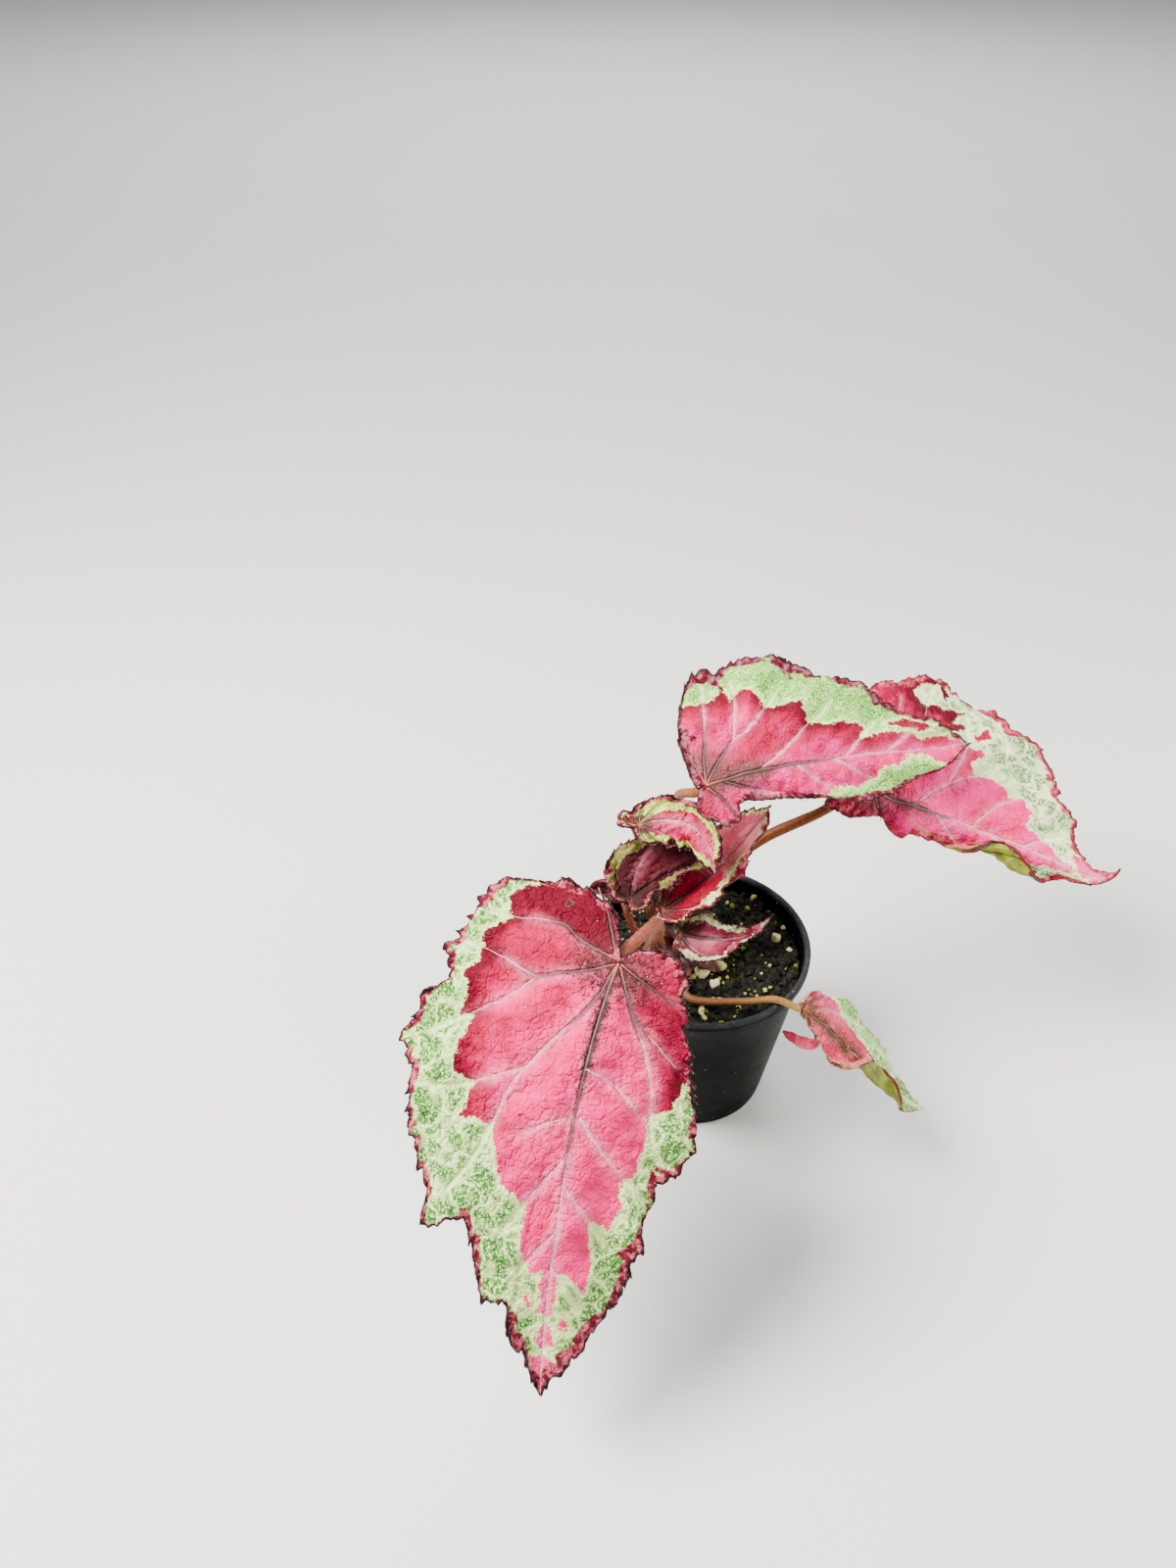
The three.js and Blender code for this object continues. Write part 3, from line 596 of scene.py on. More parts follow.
print("corners of each ring of pink:", {name: len(ring) for name, ring in ZONES.items()})

# %% [markdown]
# ## Margins and bands
# The dark margin is broad on one side of a blade and narrow on the other. On the small leaves
# the pink ends a few millimetres short of the edge. Both widths change round the blade, so
# each is a short table of angles and widths.

# %% Margins and bands
MARGINS = {  # width of the dark margin at each angle from the midrib, 1 as usual
    "front": [(-180, 0.8), (-60, 0.8), (-30, 1.1), (-10, 1.4), (8, 1.2), (18, 0.9), (40, 0.8),
              (90, 0.9), (120, 1.1), (180, 0.8)],
    "upper": [(-180, 0.8), (-100, 1.1), (-60, 1.4), (-30, 1.3), (-12, 0.7), (0, 0.35),
              (12, 0.6), (30, 0.8), (60, 0.5), (120, 0.5), (180, 0.7)],
    "right": [(-180, 1.1), (-60, 1.2), (-20, 1.1), (0, 0.7), (10, 0.7), (30, 0.6), (50, 0.8),
              (90, 1.2), (180, 1.2)],
    "trailing": [(-180, 0.5), (180, 0.5)], "curled": [(-180, 0.8), (180, 0.8)],
    "low": [(-180, 0.7), (180, 0.7)],
}
BANDS = {  # width of band and margin together, in mm, at each angle from the midrib
    "curled": [(-180, 1.5), (-120, 2), (-60, 4.2), (-40, 6.5), (-20, 7.5), (-8, 4), (0, 1.8),
               (20, 3), (60, 4), (140, 1.5), (180, 1.5)],
    "shaded": [(-180, 1.2), (-100, 1.2), (-62, 5), (-40, 4.5), (-22, 2), (-5, 3), (12, 3),
               (30, 1.5), (180, 1.5)],
    "upright": [(-180, 1), (-5, 1.5), (2, 2), (7, 4.5), (12, 5), (18, 4), (26, 2.6), (38, 1.2),
                (60, 1), (180, 1)],
    "low": [(-180, 1.5), (-60, 2.6), (-25, 4), (-5, 1.8), (5, 1), (28, 1.6), (45, 3.2),
            (75, 1.5), (180, 1.2)],
    "young": [(-180, 1), (180, 1)],
}
print("leaves with a band measured from the margin:", list(BANDS))

# %% [markdown]
# ## Relief
# Between its veins the blade of a rex begonia puffs up like a quilt, and its margin waves.
# The relief is one height for any flat point: low along the veins, high between them, with
# a slow wander and a ruffle that grows towards the edge, where the last few millimetres are
# crumpled as well. Blade, veins and hairs all ask the same rule where the surface is, so
# they stay together.

# %% Relief
PUFF, PUFF_REACH = 2.1, 5.5  # mm: how high the blade puffs up, and how far from a vein
CRUMPLED = 4.5  # mm from the edge


def relief(leaf, a, b, near=None):
    """Height of the blade over its bent paper, in mm."""
    flat = np.stack([a, b], 1)
    out = np.hypot(a, b)
    angle = -np.degrees(np.arctan2(b, a))
    reach = np.interp(angle, leaf["angles"], leaf["reach"])
    place = np.interp(angle, leaf["angles"], np.linspace(0, 1, len(leaf["angles"])))
    share = np.clip(out / reach, 0, 1)
    height, waves = leaf["ruffle"]
    ruffle = -height * share**4 * np.sin(2 * np.pi * waves * place + 1)
    border = CRUMPLED * min(1.0, leaf["length"] / 90)
    crumple = np.exp(-(((1 - share) * reach) / border) ** 2)
    ruffle = ruffle + 0.2 * border * crumple * wander(
        np.stack([place * leaf["round"], share * reach], 1), 1.5 * border, 12)
    if near is None:
        near = distance_to(leaf["veins"], flat)[0]
    size = leaf.get("puff", 1.0) * min(1.0, leaf["length"] / 110)
    pillow = PUFF * size * (1 - np.exp(-(near / (PUFF_REACH * size)) ** 1.5)) - 0.8 * size
    pillow = pillow * smooth_step(0, 14 * size, out) * (1 - 0.5 * share**6)
    slow = 0.8 * size * wander(flat, 24, 3) + 0.4 * size * wander(flat, 9, 4)
    slow = slow + 0.9 * (leaf.get("puff", 1) - 1) * wander(flat, 4, 5)  # crumpled ones only
    return ruffle + (pillow + slow * smooth_step(0, 20, out))


def on_blade(leaf, a, b, proud=0.0, near=None):
    """Points of the finished blade, proud mm above its middle, and their normals."""
    a, b = np.asarray(a, float), np.asarray(b, float)
    middle = bend(leaf, a, b)
    along = bend(leaf, a + 0.4, b) - bend(leaf, a - 0.4, b)
    across = bend(leaf, a, b + 0.4) - bend(leaf, a, b - 0.4)
    normal = unit(np.cross(across, along))
    return middle + normal * (relief(leaf, a, b, near) + proud)[:, None], normal


point, normal = on_blade(LEAVES["front"], [60.0], [10.0])
print("a point of the front blade in mm:", point[0].round(1), "faces", normal[0].round(2))

# %% [markdown]
# ## Red lobes and brown specks
# The pink is not one colour: the back lobes are crimson and the tip is pale. Brown specks
# gather where the stalk meets the blade and run some way along the midrib, and the veins are
# dark there. Tables of angles say how much of this each leaf has.

# %% Red and brown
# How red each angle from the midrib is: 0.5 is rose, 1 is crimson; the right half is positive.
CRIMSON = {
    "front": [(-180, 0.3), (-150, 0.35), (-120, 0.45), (-95, 0.65), (-70, 0.8), (-50, 0.8),
              (-36, 0.55), (-28, 0.15), (0, 0.12), (22, 0.2), (38, 0.42), (52, 0.3),
              (62, 0.45), (76, 0.75), (90, 0.45), (102, 0.6), (116, 1.2), (165, 1.2),
              (180, 0.7)],
    "upper": [(-180, 0.5), (-100, 0.45), (-80, 0.32), (-62, 0.45), (-45, 0.25), (-32, 0.5),
              (-12, 0.45), (0, 0.15), (20, 0.15), (50, 0.32), (90, 0.4), (180, 0.5)],
    "right": [(-180, 0.5), (-100, 0.5), (-75, 0.8), (-60, 0.6), (-40, 0.2), (0, 0.0),
              (30, 0.4), (60, 0.5), (180, 0.5)],
    "curled": [(-180, 0.5), (-90, 0.6), (-45, 0.7), (-15, 0.3), (0, 0.2), (30, 0.2),
               (90, 0.5), (180, 0.5)],
    "upright": [(-180, 0.9), (180, 0.9)],
    "trailing": [(-180, 0.2), (0, 0.1), (180, 0.5)],
}
ROSE = [(-180, 0.5), (180, 0.5)]  # for the leaves that have no row of their own
# The shares of the length between which red gives way to pink. On the upright leaf this
# pale top is partly its own colour and partly painted light, where the upper leaf shades it.
PALER_WITH_PAINTED_LIGHT = {"upright": (0.4, 0.66)}
# Brown specks: the share of the length they cover round the stalk, mm beside the midrib, the
# share along it, and how brown each angle from the midrib is.
BROWN = {
    "front": (0.125, 4, 0.3, [(-180, 0.8), (95, 1), (112, 0.3), (180, 0.3)]),
    "upper": (0.17, 9, 0.25, [(-180, 0.7), (-60, 1), (8, 1), (25, 0.25), (180, 0.2)]),
    "right": (0.14, 5, 0.25, [(-180, 1), (180, 1)]),
    "trailing": (0.15, 6.5, 0.75, [(-180, 0.6), (-20, 1), (20, 1), (60, 0.8), (180, 0.6)]),
}
BROWN_ELSEWHERE = (0.13, 3, 0.25, [(-180, 1), (180, 1)])
# How far out a vein stays dark, as a share of the length; the midrib stays so the longest.
DARK_MIDRIB = {"right": 0.4, "curled": 0.16}
DARK_ELSEWHERE = 0.58
DARK_SIDE_VEIN = 0.24


def sap(name, out, which):
    """How dark a vein is, from 1 at the stalk to 0; vein number 0 is the midrib."""
    limit = np.where(np.asarray(which) == 0, DARK_MIDRIB.get(name, DARK_ELSEWHERE),
                     DARK_SIDE_VEIN)
    return 1 - smooth_step(0.5, 1.15, np.asarray(out) / limit)


print("darkness of a midrib on its way out:", sap("front", [0.1, 0.4, 0.7], 0).round(2))

# %% [markdown]
# ## What the finish needs to know
# A leaf's colours follow the blade, not the room, so every point of a blade carries a few
# numbers: how far it is from the margin, how deep inside the pink zone, how far from a vein
# and how dark that vein is, how near the stalk, and how crimson that lobe is. The finish
# reads these and adds the fine noise itself. That gives edges far sharper than the mesh.

# %% Numbers on the blade
def to_margin(leaf, flat):
    """How far each flat point is from the toothed margin, in mm."""
    edge = np.vstack([leaf["margin"], leaf["margin"][:1]])
    return distance_to([edge], flat)[0]


def pinkness(name, flat):
    """How deep inside the pink a flat point is, in mm; negative outside."""
    if name in BANDS:
        angle = np.degrees(np.arctan2(flat[:, 1], flat[:, 0]))
        band = np.interp(angle, *np.array(BANDS[name], float).T)
        return to_margin(LEAVES[name], flat) - band
    depth = np.full(len(flat), -1e9)
    for ring in [ZONES[name]] + ISLANDS.get(name, []):
        ring = np.array(ring + ring[:1], float)
        here = distance_to([ring], flat)[0] * np.where(inside(ring, flat), 1, -1)
        depth = np.maximum(depth, here)
    return depth


def blade_numbers(leaf, name, a, b):
    """How far each point is from a vein, and all the numbers that the finish reads."""
    flat = np.stack([a, b], 1)
    rim = to_margin(leaf, flat)
    near, which = distance_to(leaf["veins"], flat)
    out = np.hypot(a, b)
    angle = np.degrees(np.arctan2(b, a))
    pink = pinkness(name, flat)
    table = np.array(CRIMSON.get(name, ROSE), float)
    crimson = np.interp(angle, table[:, 0], table[:, 1])
    outer = smooth_step(0, 11, pink)
    crimson = crimson + 0.5 * (1 - outer) * smooth_step(0.1, 0.3, crimson)
    if name in PALER_WITH_PAINTED_LIGHT:
        crimson = crimson * (1 - smooth_step(*PALER_WITH_PAINTED_LIGHT[name], out / leaf["length"]))
    share, beside, along, turns = BROWN.get(name, BROWN_ELSEWHERE)
    turns = np.array(turns, float)
    heart = 1.15 - out / (share * leaf["length"])
    heart = heart * np.interp(angle, turns[:, 0], turns[:, 1])
    spine = (1 - np.abs(b) / beside) * (a > 0)
    spine = spine * (1 - smooth_step(0.7 * along, 1.3 * along, a / leaf["length"]))
    heart = np.clip(np.maximum(heart, spine), 0, 1)
    if name in MARGINS:
        rim = rim / np.interp(angle, *np.array(MARGINS[name], float).T)
    return near, dict(rim=rim, pink=pink, vein=np.minimum(near, 20), crimson=crimson,
                      heart=heart, sap=sap(name, out / leaf["length"], which),
                      out=out / leaf["length"])


SURFACE = ("rim", "pink", "vein", "crimson", "heart", "sap", "out")
print("numbers on each point of a blade:", SURFACE)

# %% [markdown]
# ## Finishes
# A finish is a small tree of nodes that ends in one shader. The helpers below only shorten
# the wiring: a number carried by the mesh, a noise, a soft step, a blend of two colours.
# Colours are written as a painter would mix them, 0 to 255, and turned into Blender's linear
# ones. Leaf patterns read the blade's own flat place in millimetres, so they bend with it.

# %% Finish helpers
def tone(red, green, blue):
    """A painter's 0 to 255 as Blender's linear colour."""
    return tuple(((c / 255 + 0.055) / 1.055) ** 2.4 for c in (red, green, blue)) + (1.0,)


class Finish:
    """A material under construction; all but the last method return the socket they made."""

    def __init__(self, name, roughness=0.5):
        self.material = bpy.data.materials.new(name)
        self.material.use_nodes = True
        self.tree = self.material.node_tree
        self.shader = self.tree.nodes["Principled BSDF"]
        self.shader.inputs["Roughness"].default_value = roughness

    def make(self, kind, inputs, out=0, **settings):
        """Adds a node; its inputs are given as values or as sockets to link."""
        node = self.tree.nodes.new("ShaderNode" + kind)
        for key, value in settings.items():
            setattr(node, key, value)
        for key, value in inputs.items():
            if isinstance(value, bpy.types.NodeSocket):
                self.tree.links.new(value, node.inputs[key])
            else:
                node.inputs[key].default_value = value
        return node.outputs[out]

    def number(self, name):
        """A number that the points of the mesh carry."""
        return self.make("Attribute", {}, "Fac", attribute_name=name)

    def flat(self):
        """The place on the flat paper, in mm."""
        return self.make("Attribute", {}, "Vector", attribute_name="flat")

    def room(self, stretch=(1, 1, 1)):
        """The place in the room, in metres."""
        place = self.make("TexCoord", {}, "Object")
        return self.make("Mapping", {"Vector": place, "Scale": stretch})

    def noise(self, place, scale, detail=3, rough=0.5, warp=0.0):
        """An uneven pattern about 0.5; scale says how many lumps lie along one unit."""
        return self.make("TexNoise", {"Vector": place, "Scale": scale, "Detail": detail,
                                      "Roughness": rough, "Distortion": warp})

    def warped(self, place, scale, amount):
        """A place pushed about by a noise, so that cells lose their straight sides."""
        push = self.make("TexNoise", {"Vector": place, "Scale": scale, "Detail": 2}, "Color")
        push = self.make("VectorMath", {0: push, 1: (0.5, 0.5, 0.5)}, operation="SUBTRACT")
        push = self.make("VectorMath", {0: push, "Scale": amount}, operation="SCALE")
        return self.make("VectorMath", {0: place, 1: push}, operation="ADD")

    def cells(self, place, scale, feature="F1"):
        """How far a point is from the middle of its cell, or from the cell's edge."""
        return self.make("TexVoronoi", {"Vector": place, "Scale": scale}, "Distance",
                         feature=feature)

    def sum(self, kind, first, second, third=0.0):
        """Any sum on numbers; kind is the Math node's own word for it."""
        return self.make("Math", {0: first, 1: second, 2: third}, operation=kind)

    def step(self, value, low, high):
        """0 up to low and 1 from high on, with a soft change between, or the other way."""
        return self.make("MapRange", {"Value": value, "From Min": low, "From Max": high},
                         interpolation_type="SMOOTHSTEP")

    def blend(self, amount, first, second):
        """The first colour where amount is 0, the second where it is 1."""
        return self.make("Mix", {0: amount, 6: first, 7: second}, 2, data_type="RGBA")

    def bump(self, height, strength, depth):
        """Relief too fine for the mesh; depth is in metres."""
        return self.make("Bump", {"Height": height, "Strength": strength, "Distance": depth})

    def done(self, colour=None, roughness=None, normal=None, gloss=0.5):
        """Links what was made to the shader and returns the material."""
        for name, value in (("Base Color", colour), ("Roughness", roughness),
                            ("Normal", normal)):
            if value is not None:
                self.tree.links.new(value, self.shader.inputs[name])
        self.shader.inputs["Specular IOR Level"].default_value = gloss
        return self.material


print("coral pink as Blender reads it:", [round(c, 2) for c in tone(243, 105, 133)[:3]])

# %% [markdown]
# ## The silver band
# Four layers lie on each other on the upper face, as they do on the real leaf. At the bottom
# is the silver band: cream with green specks that gather in patches, paler along the veins
# and in lanes between the patches. Cells whose sides are pushed about by a noise give specks
# and lanes without any picture, and they stay sharp however near the camera comes.
# The colours of each layer come from one palette, here called ink.

# %% Silver band
def silver_band(f, flat, vein, depth, ink, greenery, netted, dot):
    """Less greenery gives more green, netted opens the lanes, dot makes specks finer."""
    away = f.sum("MULTIPLY", f.step(depth, -0.4, -3.0), f.step(vein, 0.5, 2.2))
    patch = f.step(f.noise(flat, 0.13, 3), greenery - 0.08, greenery + 0.08)
    lanes = f.step(f.cells(f.warped(flat, 0.15, 7.0), 0.1, "DISTANCE_TO_EDGE"), 0.1, 0.01)
    lanes = f.sum("MULTIPLY_ADD", lanes, -netted, 1.0)
    patch = f.sum("MULTIPLY", f.sum("MULTIPLY", patch, lanes), away)
    silver = f.blend(f.sum("MULTIPLY", f.step(f.noise(flat, 0.9, 4, 0.65), 0.46, 0.6), 0.6),
                     ink["cream"], ink["mint"])
    greens = f.blend(f.step(f.noise(flat, 0.7, 3), 0.38, 0.62), ink["green"],
                     ink["deep_green"])
    silver = f.blend(patch, silver, greens)
    dots = f.step(f.cells(f.warped(flat, 0.6, 1.0), dot), 0.44, 0.26)
    dots = f.sum("MAXIMUM", dots, f.step(f.noise(flat, 1.3 * dot, 3, 0.6), 0.54, 0.62))
    return f.blend(f.sum("MULTIPLY", f.sum("MULTIPLY", dots, patch), 0.85), silver,
                   ink["cream"])


print("layer 1 of the upper face: silver band")

# %% [markdown]
# ## The pink middle of the finish
# Over the band lies the pink. It is soft pink where a lobe carries no red and turns through
# rose to crimson where it does. Whitish flanks run beside the veins, and faint mottles break
# the flat colour. The lobe's own number decides how red it is, and a slow noise blurs where
# one red passes into the next, so no border shows.

# %% Pink middle
def pink_middle(f, flat, vein, ink, veil):
    """veil is how much paler the pink is some way from a vein."""
    body = f.blend(f.step(f.noise(flat, 0.08, 3), 0.38, 0.62), ink["soft"], ink["pink"])
    red = f.sum("MULTIPLY_ADD", f.noise(flat, 0.1, 4, 0.6), 0.8, -0.4)
    red = f.sum("ADD", f.number("crimson"), red)
    body = f.blend(f.step(red, 0.15, 0.55), body, ink["rose"])
    body = f.blend(f.step(red, 0.55, 1.0), body, ink["crimson"])
    mottle = f.sum("MULTIPLY", f.step(f.noise(flat, 0.7, 4, 0.6), 0.48, 0.75),
                   f.step(red, 0.8, 0.1))
    body = f.blend(f.sum("MULTIPLY", mottle, 0.14), body, ink["pale"])
    darker = f.step(f.noise(flat, 1.3, 3, 0.6), 0.5, 0.7)
    body = f.blend(f.sum("MULTIPLY", darker, 0.14), body, ink["rose"])
    flank = f.sum("MULTIPLY", f.step(vein, 1.9, 0.3), 0.75)
    flank = f.sum("MAXIMUM", flank, f.sum("MULTIPLY", f.step(vein, 5.0, 0.6), veil))
    flank = f.sum("MULTIPLY", flank, f.step(f.noise(flat, 0.4, 3), 0.25, 0.6))
    flank = f.sum("MULTIPLY", flank, f.step(red, 1.1, 0.4))
    return f.blend(flank, body, ink["pale"])


print("layer 2 of the upper face: pink middle")

# %% [markdown]
# ## Brown specks and painted vein shade
# Round the stalk and along the midrib the face is dusted with fine brown specks, over a faint
# ash tint. They come where a fine rough noise passes a limit, and the limit falls towards the
# stalk, so they grow denser there. The veins near the stalk get a brown outline, which is
# painted shade: it stands for the shadow in the grooves beside them.

# %% Brown heart
def brown_heart(f, flat, vein, face, ink, ash, speckles):
    """ash is the strength of the tint, and speckles that of the specks."""
    heart = f.number("heart")
    face = f.blend(f.sum("MULTIPLY", f.step(heart, 0.0, 0.8), ash), face, ink["tint"])
    clumps = f.step(f.noise(flat, 0.3, 3), 0.36, 0.56)
    crumbs = f.sum("MULTIPLY_ADD", heart, 0.22, f.noise(flat, 1.0, 4, 0.72))
    crumbs = f.sum("MULTIPLY", f.step(crumbs, 0.56, 0.62), f.step(heart, 0.02, 0.2))
    crumbs = f.sum("MULTIPLY", crumbs, f.sum("MULTIPLY_ADD", clumps, 0.7, 0.2))
    face = f.blend(f.sum("MULTIPLY", crumbs, speckles), face, ink["brown"])
    # Painted shade: the brown outline beside the veins near the stalk stands for the shadow in
    # their grooves.
    outline = f.sum("MULTIPLY", f.step(vein, 1.7, 0.7), f.number("sap"))
    return f.blend(f.sum("MULTIPLY", outline, 0.75), face, ink["brown"])


print("layer 3 of the upper face: brown specks")

# %% [markdown]
# ## The maroon margin
# The margin is blotched maroon and rose, of uneven width, with a thin dark hem right at the
# teeth. Width and hem are both steps of the distance to the margin. A slow and a quick noise
# are added to that distance first, so the border wanders as it does on the leaf.

# %% Maroon margin
def maroon_margin(f, flat, face, ink, margin):
    """margin is the usual width in mm, from which both noises depart."""
    wide = f.sum("MULTIPLY_ADD", f.noise(flat, 0.08, 2), 13.0, -6.5)
    rim = f.sum("MULTIPLY_ADD", f.noise(flat, 0.4, 4, 0.6), 5.0, -2.5)
    rim = f.sum("ADD", f.number("rim"), f.sum("ADD", rim, wide))
    edge = f.blend(f.step(f.noise(flat, 0.32, 4, 0.65), 0.44, 0.58), ink["maroon"],
                   ink["fleck"])
    hem = f.sum("MULTIPLY_ADD", f.noise(flat, 1.1, 3), 2.4, -1.2)
    seam = min(1.3, 0.6 * margin)
    edge = f.blend(f.step(f.sum("ADD", f.number("rim"), hem), seam, 0.4 * seam), edge,
                   ink["dark"])
    border = f.sum("MAXIMUM", f.step(rim, margin + 0.5, margin - 0.5),
                   f.step(f.sum("ADD", f.number("rim"), hem), seam + 0.1, 0.6 * seam))
    return f.blend(border, face, edge)


print("layer 4 of the upper face: maroon margin")

# %% [markdown]
# ## The upper face
# Now the layers are laid on each other. The pink is cut to its drawn zone, and two noises
# tear its edge, a slow one into tongues and a quick one into frays. Puckers, the net of small
# veins and the tiny cells of the skin are bump, since they are far finer than the mesh. The
# colours of the palette are set deep, because light washes them out.

# %% Upper face
PALETTE = dict(
    soft=tone(255, 20, 124), pink=tone(236, 4, 96), rose=tone(178, 0, 60),
    crimson=tone(98, 0, 26), pale=tone(255, 152, 182), cream=tone(230, 252, 160),
    mint=tone(170, 222, 112), green=tone(84, 156, 56), deep_green=tone(48, 104, 38),
    maroon=tone(100, 10, 36), dark=tone(44, 20, 24), fleck=tone(196, 88, 102),
    tint=tone(132, 72, 72), brown=tone(58, 34, 32))


def upper_face(name, changes, ragged=7.0, margin=2.6, speckles=1.0, ash=0.55, greenery=0.4,
               netted=1.0, dot=0.8, veil=0.3):
    """A palette with some colours changed; ragged and margin are in mm."""
    ink = {**PALETTE, **changes}
    f = Finish(name)
    flat = f.flat()
    tear = f.sum("MULTIPLY_ADD", f.noise(flat, 0.33, 5, 0.62), ragged, -0.5 * ragged)
    fray = f.sum("MULTIPLY_ADD", f.noise(flat, 1.5, 3, 0.6), 3.6, -1.8)
    depth = f.sum("ADD", f.sum("ADD", f.number("pink"), tear), fray)
    vein = f.number("vein")
    silver = silver_band(f, flat, vein, depth, ink, greenery, netted, dot)
    body = pink_middle(f, flat, vein, ink, veil)
    face = f.blend(f.step(depth, -0.3, 0.3), silver, body)
    face = brown_heart(f, flat, vein, face, ink, ash, speckles)
    face = maroon_margin(f, flat, face, ink, margin)
    net = f.step(f.cells(flat, 0.3, "DISTANCE_TO_EDGE"), 0.0, 0.16)
    puckers = f.sum("MULTIPLY_ADD", f.noise(flat, 0.22, 4, 0.52, 0.6), 4.2,
                    f.sum("MULTIPLY", net, 0.5))
    groove = f.step(vein, 0.0, 1.3)
    height = f.sum("MULTIPLY_ADD", f.cells(flat, 1.2), 0.4, f.sum("ADD", puckers, groove))
    rough = f.make("MapRange", {"Value": f.noise(flat, 0.6, 3), "To Min": 0.36, "To Max": 0.6})
    return f.done(face, rough, f.bump(height, 0.85, 0.0007), gloss=0.08)


print("colours of an upper face:", list(PALETTE))

# %% [markdown]
# ## The colours of the nine leaves
# All nine share one rule and differ in a few colours and measures, so only what differs is
# written down. The large leaves are pink and silver-green, the right one greener and the
# upper one brighter. The withered one has gone pale brown at the edge. The small ones are
# edged with lime, dusky, frosted, crimson or, on the youngest leaf, dark red all over. The
# dusky palette is partly painted shade, set darker because that leaf lies under the curled
# one, and the pale top of the crimson one is partly painted light.

# %% Leaf colours
pink_blade = upper_face("pink_blade_upper", dict(soft=tone(255, 20, 118)), greenery=0.36)
bright_blade = upper_face("bright_blade_upper", dict(
    soft=tone(255, 30, 136), pink=tone(248, 8, 108), mint=tone(178, 246, 98),
    green=tone(112, 206, 54), deep_green=tone(68, 146, 38), fleck=tone(158, 92, 98),
    dark=tone(60, 28, 32), tint=tone(120, 78, 72)),
    margin=3.3, speckles=0.4, ash=0.9, greenery=0.3, netted=0.2, dot=1.15, veil=0.1)
rosy_blade = upper_face("rosy_blade_upper", dict(
    soft=tone(255, 34, 134), cream=tone(248, 255, 196), mint=tone(204, 236, 150),
    green=tone(120, 172, 92), deep_green=tone(70, 116, 60), maroon=tone(158, 26, 54),
    dark=tone(110, 40, 48), fleck=tone(214, 84, 104)),
    margin=2.9, speckles=0.5, greenery=0.43)
lime_edged_blade = upper_face("lime_edged_upper", dict(
    soft=tone(255, 72, 134), pink=tone(236, 16, 92), rose=tone(190, 0, 64),
    cream=tone(222, 238, 110), mint=tone(186, 212, 70), green=tone(140, 176, 60),
    maroon=tone(66, 6, 22)),
    margin=1.4, speckles=0.3, ragged=6)
withered_blade = upper_face("withered_upper", dict(
    soft=tone(240, 80, 112), pink=tone(206, 44, 80), rose=tone(170, 20, 52),
    crimson=tone(120, 30, 36), cream=tone(236, 250, 190), maroon=tone(180, 130, 96),
    dark=tone(150, 100, 76), fleck=tone(214, 180, 140), tint=tone(98, 96, 40),
    mint=tone(164, 220, 90), green=tone(92, 184, 40), deep_green=tone(62, 146, 30),
    brown=tone(84, 56, 30)),
    margin=0.6, ash=0.5, ragged=6, greenery=0.38, netted=0.2, dot=0.95)
# Partly painted shade: the shaded leaf's own dusky colours, set darker for the shade it lies
# in under the curled leaf.
dusky_blade = upper_face("dusky_shaded_blade_upper", dict(
    soft=tone(142, 56, 74), pink=tone(110, 34, 50), rose=tone(76, 16, 26),
    crimson=tone(56, 14, 20), pale=tone(176, 100, 116), cream=tone(136, 130, 66),
    mint=tone(112, 100, 44), green=tone(88, 78, 32), deep_green=tone(58, 50, 24),
    tint=tone(60, 28, 28)),
    margin=1.2, ragged=9)
frosted_blade = upper_face("frosted_upper", dict(
    soft=tone(250, 156, 176), pink=tone(222, 116, 138), rose=tone(176, 70, 94),
    crimson=tone(112, 24, 46), pale=tone(240, 190, 198), cream=tone(214, 226, 168),
    mint=tone(168, 188, 120), green=tone(120, 142, 84), deep_green=tone(84, 104, 60)),
    margin=1.0, speckles=0.4, ash=0.3, ragged=8)
# Partly painted light: the soft and pink that fill the upright leaf's pale top are set lighter
# than its own colour. They stand for light on a top that the upper leaf shades.
crimson_blade = upper_face("crimson_blade_upper", dict(
    soft=tone(250, 152, 160), pink=tone(234, 92, 118), rose=tone(170, 0, 50),
    crimson=tone(134, 0, 36), pale=tone(236, 150, 164), mint=tone(180, 214, 130),
    maroon=tone(150, 20, 48), fleck=tone(206, 100, 116), dark=tone(96, 24, 38)),
    margin=1.3, speckles=0.4, ragged=5)
young_blade = upper_face("young_blade_upper", dict(
    soft=tone(96, 26, 36), pink=tone(78, 16, 26), rose=tone(60, 10, 18),
    crimson=tone(46, 8, 14), pale=tone(130, 60, 70), cream=tone(110, 44, 44),
    mint=tone(96, 40, 40), green=tone(80, 32, 32), deep_green=tone(56, 22, 24)),
    margin=0.8, ragged=3)
print("upper faces:", [m.name for m in bpy.data.materials])

# %% [markdown]
# ## The under face, the veins and the hairs
# Turned over, the blade is lime green, flushed dark red near its margin and round the stalk.
# The vein lines on top are reddish at the stalk, then olive-grey, and fade to whitish pink.
# The ribs below are thick and red. Hairs on the edges are pale with a red root; those on the
# stalks are tan.

